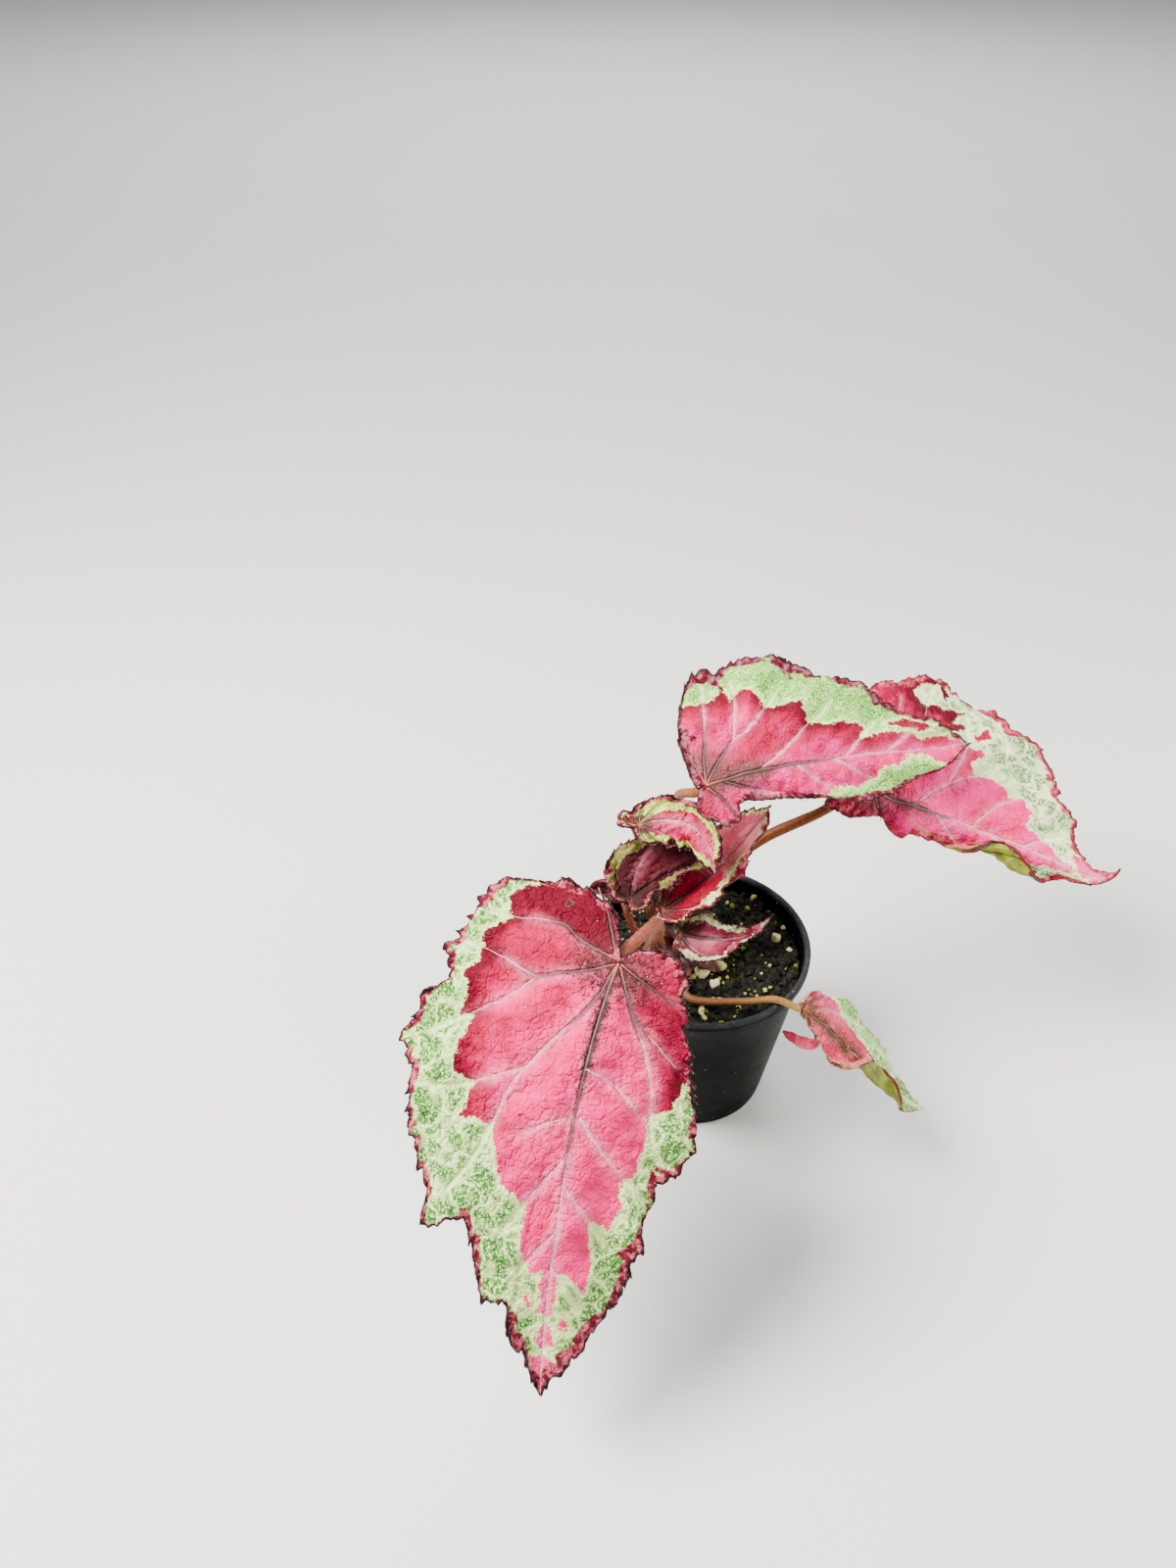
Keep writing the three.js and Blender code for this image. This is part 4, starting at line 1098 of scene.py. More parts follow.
# %% Under faces, veins, hairs
def under_face(name, lime, olive, red):
    """Two greens in slow patches, red by the margin, the ribs and the stalk."""
    f = Finish(name)
    flat = f.flat()
    colour = f.blend(f.step(f.noise(flat, 0.25, 4), 0.35, 0.65), lime, olive)
    flush = f.sum("MULTIPLY_ADD", f.noise(flat, 0.3, 4, 0.6), 6.0, -3.0)
    near_rim = f.step(f.sum("ADD", f.number("rim"), f.sum("MULTIPLY", flush, 0.5)), 2.8, 1.6)
    near_vein = f.step(f.number("vein"), 1.3, 0.4)
    both = f.sum("MAXIMUM", near_rim, f.sum("MULTIPLY", near_vein, 0.8))
    both = f.sum("MAXIMUM", both, f.sum("MULTIPLY", f.number("heart"), 0.7))
    colour = f.blend(both, colour, red)
    net = f.cells(flat, 0.45, "DISTANCE_TO_EDGE")
    height = f.sum("ADD", f.step(net, 0.12, 0.0), f.noise(flat, 1.2, 3))
    return f.done(colour, None, f.bump(height, 0.5, 0.0004), gloss=0.4)


def line_finish(name, root, near, far, beyond):
    """A vein's colour at the stalk, near it, far out, and beyond the pink."""
    f = Finish(name, 0.55)
    change = f.sum("MULTIPLY_ADD", f.noise(f.room(), 260, 3), 0.5, -0.25)
    fade = f.sum("ADD", f.number("fade"), change)
    colour = f.blend(f.step(fade, 0.3, 0.7), near, far)
    colour = f.blend(f.step(f.number("pink"), 0.5, -1.5), colour, beyond)
    colour = f.blend(f.step(f.number("out"), 0.06, 0.015), colour, root)
    return f.done(colour, None, f.bump(f.noise(f.room(), 1500, 2), 0.3, 0.0002))


def hair_finish(name, root, tip):
    """A hair's colour at the root, blending into that at the tip."""
    f = Finish(name, 0.6)
    return f.done(f.blend(f.step(f.number("tip"), 0.0, 0.8), root, tip))


# Partly painted light: the leaf's own lime and olive, set lighter to make up for under sides
# that face down into shade.
lime_under_lightened = under_face("lime_under_lightened", tone(148, 154, 18), tone(100, 106, 22), tone(92, 10, 14))
red_under = under_face("red_under", tone(100, 30, 34), tone(80, 24, 28), tone(60, 8, 16))
vein_line = line_finish("vein_line", tone(178, 92, 62), tone(98, 82, 66), tone(244, 160, 168),
                        tone(206, 234, 156))
vein_dusky = line_finish("vein_dusky", tone(110, 50, 36), tone(52, 30, 26), tone(150, 82, 92),
                         tone(104, 96, 50))
vein_rib = line_finish("vein_rib", tone(120, 40, 22), tone(100, 24, 18), tone(124, 96, 30),
                       tone(124, 108, 30))
pale_hair = hair_finish("pale_hair", tone(150, 70, 72), tone(226, 176, 176))
tan_hair = hair_finish("tan_hair", tone(150, 88, 52), tone(222, 184, 142))
print("under faces, veins and hairs have their finishes")

# %% [markdown]
# ## Blades
# Each blade is one sheet, drawn together at the stalk into a fan and bent into place. A
# Solidify modifier gives it 0.6 mm of thickness, with the under face on the lower side, so
# both faces and the cut edge are closed without building them. No two blades lie at the same
# place on the paper of patterns, so no two have the same speckles.

# %% Blades
BLADE_WALL = 0.6  # mm
PAPER_STEP = 37.0  # mm between the papers of two blades


def thicken(made, thickness, under):
    """Gives a sheet its thickness in mm; its lower side takes the finish numbered under."""
    wall = made.modifiers.new("thickness", "SOLIDIFY")
    wall.thickness = thickness * MM
    wall.offset = 0
    wall.material_offset = under


def blade(name, upper, under):
    """One leaf's blade, from its toothed outline to the finished sheet."""
    leaf = LEAVES[name]
    columns, rows = leaf["grid"]
    bm = fresh(*SURFACE)
    verts, across, along = sheet(bm, columns, rows)
    flat = leaf["margin"][np.rint(across * columns).astype(int)] * (along**0.9)[:, None]
    near, numbers = blade_numbers(leaf, name, flat[:, 0], flat[:, 1])
    points, normals = on_blade(leaf, flat[:, 0], flat[:, 1], near=near)
    put(verts, points)
    carry(bm, verts, **numbers)
    number = list(LEAVES).index(name)
    lay_flat(bm, verts, [(a, b, PAPER_STEP * number) for a, b in flat])
    bm.normal_update()
    sample = len(verts) // 3
    if verts[sample].normal.dot(Vector(normals[sample])) < 0:
        bmesh.ops.reverse_faces(bm, faces=bm.faces[:])
    merge(bm, verts)
    made = piece(name + "_blade", bm, [upper, under], replaces=name + "_leaf")
    thicken(made, BLADE_WALL, 1)
    return made


BLADES = {
    "front": (pink_blade, lime_under_lightened, "pink_blade"),
    "upper": (bright_blade, lime_under_lightened, "pink_blade"),
    "right": (rosy_blade, lime_under_lightened, "pink_blade"),
    "curled": (lime_edged_blade, red_under, "pink_blade"),
    "shaded": (dusky_blade, red_under, "dusky_blade"),
    "upright": (crimson_blade, red_under, "crimson_blade"),
    "low": (frosted_blade, red_under, "dusky_blade"),
    "trailing": (withered_blade, lime_under_lightened, "pink_blade"),
    "young": (young_blade, red_under, "young_blade"),
}
for name, (upper, under, slot) in BLADES.items():
    made = blade(name, upper, under)
    print(made.name, "faces:", len(made.data.polygons))

# %% [markdown]
# ## Tubes
# A tube is a sheet rolled round a path. At each point of the path a pair of directions square
# to it is carried on from the point before, which keeps the tube from twisting. Stalks, vein
# lines, ribs and the rootlet are all tubes; only their width and their path differ.

# %% Tubes
def tube(bm, path, radius, sides, fade=None):
    """Rolls a sheet round a path; radius is one number for each of its points."""
    verts, across, along = sheet(bm, sides, len(path) - 1)
    row = np.rint(along * (len(path) - 1)).astype(int)
    way = unit(np.gradient(path, axis=0))
    square = np.cross(way[0], [0.3, 0.5, 0.8])
    squares = []
    for step in way:
        square = unit(square - (square @ step) * step)
        squares.append(square)
    squares = np.array(squares)
    others = np.cross(way, squares)
    turn = 2 * np.pi * across[:, None]
    ring = np.cos(turn) * squares[row] + np.sin(turn) * others[row]
    put(verts, path[row] + ring * np.asarray(radius)[row][:, None])
    carry(bm, verts, fade=row / (len(path) - 1) if fade is None else fade[row])
    return close(bm, verts)


print("tubes are ready")

# %% [markdown]
# ## Vein lines and ribs
# A vein is sunk a little in the upper face and stands out as a rib below. So each is made
# twice from one line: a thin tube in the top of the blade and a thicker one under it. Both
# get thinner on the way out and carry numbers for their colours.

# %% Vein lines
def veins(name):
    """The vein lines on top and the ribs below one blade."""
    leaf = LEAVES[name]
    bm = fresh("fade", "out", "pink")
    size = min(1.0, leaf["length"] / 120)
    for k, line in enumerate(leaf["veins"]):
        line = smooth_line(line, max(6, int(length_of(line) / 1.6)))
        out = np.linalg.norm(line, axis=1) / leaf["length"]
        fade = 1 - sap(name, out, np.full(len(line), k))
        thick = size * (1 - 0.9 * np.linspace(0, 1, len(line)) ** 0.8)
        broad = (0.52 if k == 0 else 0.32) * thick + 0.08
        depth = pinkness(name, line)
        for radius, proud, index in ((broad, BLADE_WALL / 2 - 0.5 * broad, 0),
                                     (1.5 * broad, -BLADE_WALL / 2 - 0.6 * broad, 1)):
            path = on_blade(leaf, line[:, 0], line[:, 1], proud)[0]
            verts = tube(bm, path, radius, 6, fade)
            here = np.linalg.norm(path - path[0], axis=1) / leaf["length"] + out[0]
            spots = np.array([v.co for v in verts]) / MM
            step = np.abs(path[None] - spots[:, None]).sum(2).argmin(1)
            carry(bm, verts, out=here[step], pink=depth[step])
            for vert in verts:
                for face in vert.link_faces:
                    face.material_index = index
    top = vein_dusky if name in ("shaded", "young") else vein_line
    return piece(name + "_veins", bm, [top, vein_rib])


for name, (*_, slot) in BLADES.items():
    made = veins(name)
    print(made.name, "faces:", len(made.data.polygons))

# %% [markdown]
# ## Stalk finish
# The stalks are orange-brown and a little glassy, darker towards the crown, with fine long
# streaks and paler flecks where a hair stands. The streaks come from a noise that is squeezed
# across the stalk and follows the height.

# %% Stalk finish
def stalk_finish(name, low, middle, top):
    """Three browns from the foot of a stalk to its blade."""
    f = Finish(name, 0.5)
    place = f.room()
    fade = f.number("fade")
    colour = f.blend(f.step(fade, 0.0, 0.55), low, middle)
    colour = f.blend(f.step(fade, 0.6, 1.0), colour, top)
    streaks = f.noise(f.room((1, 1, 0.12)), 900, 3)
    colour = f.blend(f.sum("MULTIPLY", f.step(streaks, 0.45, 0.7), 0.45), colour, low)
    flecks = f.step(f.cells(place, 750), 0.2, 0.1)
    colour = f.blend(f.sum("MULTIPLY", flecks, 0.5), colour, tone(200, 140, 84))
    return f.done(colour, None, f.bump(f.noise(place, 1400, 3), 0.4, 0.0003), gloss=0.3)


brown_stalk = stalk_finish("brown_stalk", tone(60, 16, 10), tone(118, 50, 30),
                           tone(140, 66, 40))
orange_stalk = stalk_finish("orange_stalk", tone(64, 16, 4), tone(126, 58, 4),
                            tone(138, 70, 12))
ruddy_stalk = stalk_finish("ruddy_stalk", tone(40, 10, 8), tone(88, 26, 16),
                           tone(108, 48, 28))
tan_stalk = stalk_finish("tan_stalk", tone(72, 30, 14), tone(120, 76, 36),
                         tone(156, 118, 48))
print("stalk finishes made")

# %% [markdown]
# ## Stalks
# Each stalk rises out of the crown, arches over and meets its blade from below at the point
# where the veins start. It is thickest at the foot, narrows, and swells a little just under
# the blade, as real ones do. Each row has the points of the path, how far before the veins it
# comes in and how far below the blade it ends, both in mm, and its radius at foot and top.

# %% Stalks
STALKS = {
    "front": ([[-20, -7, 78], [-21, -15, 104], [-23, -38, 138], [-27, -58, 158]], 7, 1.6,
              (3.1, 2.2), brown_stalk),
    "upper": ([[-11, 13, 78], [-14, 28, 105], [-13, 37, 132], [-11, 27, 153]], 4, 0.5,
              (2.9, 2.0), orange_stalk),
    "right": ([[-1, 11, 78], [7, 26, 101], [28, 38, 116], [55, 39, 133]], 6, 1.8,
              (3.1, 2.2), orange_stalk),
    "curled": ([[-20, 14, 78], [-23, 27, 98], [-28, 34, 122], [-33, 24, 141]], 3, 0.9,
               (2.1, 1.4), orange_stalk),
    "shaded": ([[-22, 3, 78], [-28, 6, 88], [-33, 10.5, 97]], 3, 0.9, (1.9, 1.3),
               ruddy_stalk),
    "upright": ([[-12, 4, 78], [-15, 2, 90], [-22, 0, 98]], 3, 0.6, (2.3, 1.6), ruddy_stalk),
    "low": ([[-4, 3, 78], [-5, 0, 85], [-10, 2, 89]], 2, 0.7, (1.6, 1.1), brown_stalk),
    "trailing": ([[-5, -7, 78], [-9, -18, 85], [-6, -30.5, 85], [16, -34.5, 87.8],
                  [29, -37, 92.2]], 3, 0.0, (1.9, 1.5), tan_stalk),
    "young": ([[-28, 9, 78], [-32, 17, 86], [-36, 26, 91]], 2, 0.8, (1.4, 1.0), ruddy_stalk),
}
STALK_ROWS, STALK_SIDES = 70, 18  # steps along a stalk and round it


def stalk_path(name):
    """The path of a stalk up to its blade, and its radius along it."""
    points, approach, drop, radii = STALKS[name][:4]
    leaf = LEAVES[name]
    a = np.array([-approach, 0.8])
    under = np.array([0.4 + radii[1] + drop, 0.35 + 0.7 * radii[1]])
    seat, normal = on_blade(leaf, a, np.zeros(2))
    seat = seat - normal * under[:, None]
    path = smooth_line(points + [list(p) for p in seat], STALK_ROWS)
    share = np.linspace(0, 1, len(path))
    radius = radii[0] + (radii[1] - radii[0]) * share
    radius = radius * (1 + 0.1 * np.exp(-((share - 0.97) / 0.03) ** 2))
    radius = radius * (1 - 0.3 * smooth_step(0.97, 1, share))
    return path, radius * (1 + 0.025 * wander(path, 14, 8))


for name in STALKS:
    bm = fresh("fade")
    path, radius = stalk_path(name)
    tube(bm, path, radius, STALK_SIDES)
    made = piece(name + "_stalk", bm, [STALKS[name][4]], replaces=name + "_petiole")
    print(made.name, "length in mm:", round(length_of(path)))

# %% [markdown]
# ## The ear of the withered leaf
# The leaf that hangs over the rim on the right has dried, and its back lobe has shrunk to a
# narrow waved ribbon. It is a sheet of its own, laid along a line that starts on the blade
# and reaches back under the stalk.

# %% Ear
EAR_ROWS = 90
EAR_PAPER = 900  # its own place on the paper of patterns
bm = fresh(*SURFACE)
verts, across, along = sheet(bm, 16, EAR_ROWS)
root = on_blade(LEAVES["trailing"], [20.0], [3.0], -0.8)[0][0]
line = smooth_line([root, [47, -43, 69.5], [40, -40, 69.5], [34.8, -37.2, 71.5]], EAR_ROWS)
row = np.rint(along * EAR_ROWS).astype(int)
share = row / EAR_ROWS
way = unit(np.gradient(line, axis=0))
side = unit(np.cross(way, [0.1, -0.75, 0.65]))
up = np.cross(side, way)
width = (2.6 + 0.18 * np.sin(share * 30)) * (0.4 + 0.6 * smooth_step(10, 45, row))
width = width * (1 - 0.8 * share**7)
off = (across * 2 - 1) * width
wave = 1.1 * np.sin(share * 26 + 1.2) * (off / 3) * np.abs(off / 3) - 0.12 * off**2
ripple = 0.2 * wander(np.stack([row * 0.3, off], 1), 7, 9)
put(verts, line[row] + side[row] * off[:, None] + up[row] * (wave + ripple)[:, None])
rim = np.minimum(width - np.abs(off), (1 - share) * 30)
carry(bm, verts, rim=1.2 + rim * 2.8, pink=rim + 5, vein=4 + np.abs(off), out=share,
      crimson=np.full(len(off), 0.3))
lay_flat(bm, verts, [(a, b, EAR_PAPER) for a, b in zip(row * 0.3, off)])
ear = piece("trailing_ear", bm, [withered_blade, lime_under_lightened])
thicken(ear, BLADE_WALL, 1)
print("ear length in mm:", round(length_of(line)))

# %% [markdown]
# ## Hairs
# Begonia stalks and leaf edges are hairy. Each hair is a thin three-sided cone, a few faces
# only, because there are thousands. They are made in small batches, since every operator
# looks over the whole bmesh it works on.

# %% Hairs
BATCH = 200  # hairs in one small bmesh


def hairs(name, roots, ways, lengths, radius, finish):
    """One object of many hairs; lengths and the radius at the root are in mm."""
    whole = fresh("tip")
    for start in range(0, len(roots), BATCH):
        bm = fresh("tip")
        tip = bm.verts.layers.float["tip"]
        some = slice(start, start + BATCH)
        for root, way, long in zip(roots[some], ways[some], lengths[some]):
            turn = Vector(way).to_track_quat("Z", "Y").to_matrix().to_4x4()
            middle = Matrix.Translation(Vector(root + way * long * 0.5) * MM)
            made = bmesh.ops.create_cone(bm, cap_ends=True, segments=3,
                                         radius1=radius * MM, radius2=0, depth=long * MM,
                                         matrix=middle @ turn)
            top = max(made["verts"], key=lambda v: (v.co - Vector(root) * MM).length)
            top[tip] = 1
        batch = bpy.data.meshes.new("batch")
        bm.to_mesh(batch)
        bm.free()
        whole.from_mesh(batch)
        bpy.data.meshes.remove(batch)
    return piece(name, whole, [finish], smooth=False)


print("hairs are made in batches of", BATCH)

# %% [markdown]
# ## Where hairs grow
# Pale hairs fringe the edge of every blade and point outwards, some up and some down. Tan
# hairs stand all round the stalks, a little towards the leaf. Spacing and length differ from
# leaf to leaf, and the youngest is the hairiest.

# %% Hairs of edges and stalks
EDGE_HAIR, STALK_HAIR = 0.05, 0.045  # mm, the radius at the root


def margin_hairs(name, spacing, long, seed):
    """Hairs round the edge of a blade, pointing outwards and a little up or down."""
    leaf = LEAVES[name]
    rng = np.random.default_rng(seed)
    count = int(length_of(leaf["margin"]) / spacing)
    at = rng.uniform(0, len(leaf["margin"]) - 1, count)
    whole = np.arange(len(leaf["margin"]))
    edge = np.stack([np.interp(at, whole, leaf["margin"][:, k]) for k in (0, 1)], 1)
    roots, normals = on_blade(leaf, edge[:, 0] * 0.997, edge[:, 1] * 0.997)
    inner = on_blade(leaf, edge[:, 0] * 0.96, edge[:, 1] * 0.96)[0]
    ways = unit(unit(roots - inner) + normals * rng.normal(0, 0.45, (count, 1))
                + rng.normal(0, 0.3, (count, 3)))
    return hairs(name + "_margin_hairs", roots, ways, long * rng.uniform(0.5, 1.3, count),
                 EDGE_HAIR, pale_hair)


def stalk_hairs(name, spacing, long, seed):
    """Hairs all round a stalk, leaning a little towards its blade."""
    rng = np.random.default_rng(seed)
    path, radius = stalk_path(name)
    count = int(length_of(path) / spacing)
    at = rng.uniform(6, len(path) - 4, count)
    whole = np.arange(len(path))
    middle = np.stack([np.interp(at, whole, path[:, k]) for k in range(3)], 1)
    way = unit(np.gradient(path, axis=0))[at.astype(int)]
    out = rng.normal(size=(count, 3))
    out = unit(out - (out * way).sum(1, keepdims=True) * way)
    roots = middle + out * (np.interp(at, whole, radius) * 0.96)[:, None]
    ways = unit(out + way * rng.normal(0.1, 0.35, (count, 1)))
    return hairs(name + "_stalk_hairs", roots, ways, long * rng.uniform(0.5, 1.2, count),
                 STALK_HAIR, tan_hair)


# Spacing and length in mm, first of the hairs on the edge and then of those on the stalk.
HAIRS = {"front": (0.75, 1.5, 0.16, 1.1), "upper": (0.75, 1.4, 0.3, 1.0),
         "right": (0.8, 1.4, 0.3, 1.0), "curled": (0.5, 1.6, 0.3, 1.2),
         "shaded": (0.5, 1.6, 0.35, 1.2), "upright": (0.55, 1.6, 0.35, 1.2),
         "low": (0.6, 1.3, 0.4, 1.0), "trailing": (0.9, 1.0, 0.4, 0.8),
         "young": (0.3, 1.8, 0.3, 1.4)}
for seed, (name, (gap, long, stalk_gap, stalk_long)) in enumerate(HAIRS.items()):
    edge_hairs = margin_hairs(name, gap, long, seed)
    fuzz = stalk_hairs(name, stalk_gap, stalk_long, 50 + seed)
    print(name, "hairs:", len(edge_hairs.data.vertices) // 4, len(fuzz.data.vertices) // 4)

# %% [markdown]
# ## The crown
# The stem of a rex begonia creeps along the soil as a row of knobs, each one left by an old
# leaf. Spheres, flattened and pushed about by a slow wander, sink into one another and make
# it. Each row says where a knob is and how large, in mm.

# %% Crown
def skin_finish(name, dark, warm, pale, scale):
    """Rough bark-like skin; a larger scale gives a finer pattern."""
    f = Finish(name, 0.62)
    place = f.room()
    colour = f.blend(f.step(f.noise(place, scale, 4, 0.6), 0.38, 0.62), dark, warm)
    colour = f.blend(f.sum("MULTIPLY", f.step(f.noise(place, scale * 4, 3), 0.55, 0.7), 0.5),
                     colour, pale)
    height = f.sum("ADD", f.noise(place, scale * 3, 4, 0.6), f.cells(place, scale * 2))
    return f.done(colour, None, f.bump(height, 0.7, 0.0008))


crown_skin = skin_finish("crown_skin", tone(34, 10, 8), tone(76, 22, 12),
                         tone(110, 60, 36), 130)
paper_skin = skin_finish("paper_skin", tone(76, 18, 14), tone(120, 48, 36),
                         tone(160, 96, 72), 150)
KNOBS = [(-21, 8, 80, 9), (-11, 7, 81, 9.5), (-3, 6, 80, 8.5), (-15, -3, 80, 8),
         (-5, -5, 79, 7), (-27, 8, 79, 6)]
bm = bmesh.new()
for x, y, z, radius in KNOBS:
    verts = bmesh.ops.create_icosphere(bm, subdivisions=4, radius=1)["verts"]
    ball = np.array([v.co for v in verts])
    swell = (1 + 0.07 * wander(ball * radius, 9, int(x) + 60)
             + 0.03 * wander(ball * radius, 3, 5))
    rings = 1 + 0.03 * np.sin(ball[:, 2] * 14 + x)
    put(verts, np.array([x, y, z]) + ball * (radius * 0.97 * swell * rings)[:, None]
        * np.array([1, 1, 0.75]))
crown = piece("creeping_stem", bm, [crown_skin], replaces="crown")
print("crown faces:", len(crown.data.polygons))

# %% [markdown]
# ## Stipules
# The scales round the knobs are the dry papery caps of young leaves. Each is a small sheet,
# wide at the foot and pointed at the tip, that leans outwards. A row says where its foot is,
# how far it leans and which way it faces in degrees, and how long and wide it is in mm.

# %% Stipules
SCALES = [(-1, -4, 82, 42, 300, 15, 8), (3, 2, 82, 32, 20, 14, 7),
          (-16, -7, 83, 38, 245, 14, 8), (-8, -8, 82, 30, 282, 13, 7),
          (1, 9, 83, 26, 60, 14, 7), (-20, -3, 84, 22, 220, 12, 6),
          (-7, -2, 85, 18, 300, 12, 6), (-11, -6, 84, 14, 260, 11, 5),
          (-25, 4, 83, 30, 190, 11, 6)]
bm = bmesh.new()
for k, (x, y, z, lean, turn, long, wide) in enumerate(SCALES):
    verts, across, along = sheet(bm, 10, 18)
    half = wide / 2 * (1 - along**1.6) ** 0.8 * (0.75 + 0.5 * np.sin(np.pi * along))
    off = (across * 2 - 1) * half
    lean_now = np.radians(lean + 25 * along)
    out = long * along * np.sin(lean_now) + 0.1 * off**2 + 0.2 * wander(
        np.stack([off, along * long], 1), 6, k)
    rise = long * along * np.cos(lean_now)
    cos, sin = math.cos(math.radians(turn)), math.sin(math.radians(turn))
    put(verts, np.stack([x + out * cos - off * sin, y + out * sin + off * cos,
                         z - 2 + rise], 1))
    merge(bm, verts)
thicken(piece("stipules", bm, [paper_skin]), 0.35, 0)
print("stipules:", len(SCALES))

# %% [markdown]
# ## Soil finishes
# Potting mix is dark peat with grains of pumice and perlite. Green algae tint the dampest
# parts. The grains are cream, yellow or green and a little dirty, so each carries a number
# that says which of these it is.

# %% Soil finish
f = Finish("peat", 0.8)
place = f.room()
colour = f.blend(f.step(f.noise(place, 420, 5, 0.7), 0.4, 0.66), tone(6, 7, 6),
                 tone(46, 42, 32))
algae = f.sum("MULTIPLY", f.step(f.noise(place, 70, 3), 0.52, 0.66),
              f.step(f.noise(place, 500, 3), 0.42, 0.6))
colour = f.blend(f.sum("MULTIPLY", algae, 0.5), colour, tone(60, 70, 14))
height = f.sum("ADD", f.noise(place, 700, 5, 0.7), f.cells(place, 500))
peat = f.done(colour, None, f.bump(height, 0.9, 0.0012), gloss=0.15)

f = Finish("grain", 0.75)
place = f.room()
kind = f.number("kind")
colour = f.blend(f.step(kind, 0.0, 0.6), tone(236, 220, 164), tone(176, 166, 76))
colour = f.blend(f.step(kind, 0.7, 1.0), colour, tone(92, 102, 20))
dirt = f.step(f.noise(place, 600, 4, 0.65), 0.52, 0.7)
colour = f.blend(f.sum("MULTIPLY", dirt, 0.7), colour, tone(74, 62, 40))
grain = f.done(colour, None, f.bump(f.noise(place, 1100, 4, 0.7), 0.8, 0.0007))
print("soil finishes:", peat.name, grain.name)

# %% [markdown]
# ## The soil
# The plug is one closed sheet: its rows run out over the uneven top, down inside the pot's
# wall and back under, where they meet in one point. A rolled sheet was chosen because its
# points can all be moved by one rule. The same height rule later seats the crumbs.

# %% Soil
POT_HEIGHT, POT_FOOT, POT_TOP = 90, 35.5, 48.7  # mm: height, and outer radius of the wall
SOIL_GAP = 1.55  # mm from the outside of the wall to the soil
SOIL_LEVEL, SOIL_FOOT = 81, 1.9  # mm above the table
TOP, SIDE, UNDER = 0.8, 0.12, 0.08  # shares of the rows on each side of the plug


def wall_radius(z):
    """The outside of the pot's tapered wall at a height, in mm."""
    return POT_FOOT + (POT_TOP - POT_FOOT) * z / POT_HEIGHT


def soil_height(x, y):
    """The lumpy top of the soil, which sinks a little at the wall."""
    lumps = (0.9 * np.sin(0.31 * x + 1.3) * np.cos(0.27 * y + 0.4)
             + 0.5 * np.sin(0.9 * x - 0.7 * y) + 0.4 * np.cos(0.8 * x + 1.1 * y))
    return SOIL_LEVEL + lumps - 1.2 * (np.hypot(x, y) / 47) ** 6


bm = bmesh.new()
verts, across, along = sheet(bm, 170, 90)
share = np.clip(along / TOP, 0, 1)
radius = share * (wall_radius(80) - SOIL_GAP)
turn = 2 * np.pi * across
x, y = radius * np.cos(turn), radius * np.sin(turn)
flat = np.stack([x, y], 1)
rough = 0.45 * wander(flat, 5, 21, 12) + 0.3 * wander(flat, 2.4, 22, 12)
z = soil_height(x, y) + rough * (1 - share**12)
down = np.clip((along - TOP) / SIDE, 0, 1)
z = z * (1 - down) + SOIL_FOOT * down
under = np.clip((along - (1 - UNDER)) / UNDER, 0, 1)
radius = np.where(along > TOP, (wall_radius(z) - SOIL_GAP) * (1 - under), radius)
put(verts, np.stack([radius * np.cos(turn), radius * np.sin(turn), z], 1))
close(bm, verts)
soil = piece("soil_plug", bm, [peat], replaces="soil")
print("soil faces:", len(soil.data.polygons))

# %% [markdown]
# ## Crumbs and grains
# Crumbs of peat and pale grains lie on the soil. Each is a sphere pushed towards a box and
# then uneven. A crumb has only twenty faces, since there are 900 of them. The grains are
# finer, and those listed one by one, in view, are the finest. The others fall at random and
# lie in drifts.

# %% Crumbs and grains
CRUMBS, TRIES = 900, 330  # how many crumbs, and how many places are tried for a grain


def lump(bm, x, y, z, size, seed, fine):
    """A blocky uneven stone; size is about its radius in mm."""
    rng = np.random.default_rng(seed)
    verts = bmesh.ops.create_icosphere(bm, subdivisions=fine, radius=1)["verts"]
    ball = np.array([v.co for v in verts])
    blocky = ball / np.abs(ball).max(1, keepdims=True) * 0.8
    shape = 0.5 * (ball + blocky) * (1 + 0.22 * wander(ball, 2.4, seed, 5))[:, None]
    stretch = rng.uniform(0.65, 1.2, 3) * (1, 1, 0.85)
    turn = np.linalg.qr(rng.normal(size=(3, 3)))[0]
    put(verts, np.array([x, y, z]) + (shape * stretch) @ turn * size)
    return verts


rng = np.random.default_rng(11)
bm = bmesh.new()
for k in range(CRUMBS):
    turn, radius = rng.uniform(0, 2 * math.pi), 45.5 * math.sqrt(rng.uniform())
    x, y, size = radius * math.cos(turn), radius * math.sin(turn), rng.gamma(3, 0.3)
    lump(bm, x, y, soil_height(x, y) + 0.3 * size, min(size, 2.4), 100 + k, 1)
crumbs = piece("peat_crumbs", bm, [peat], smooth=False)

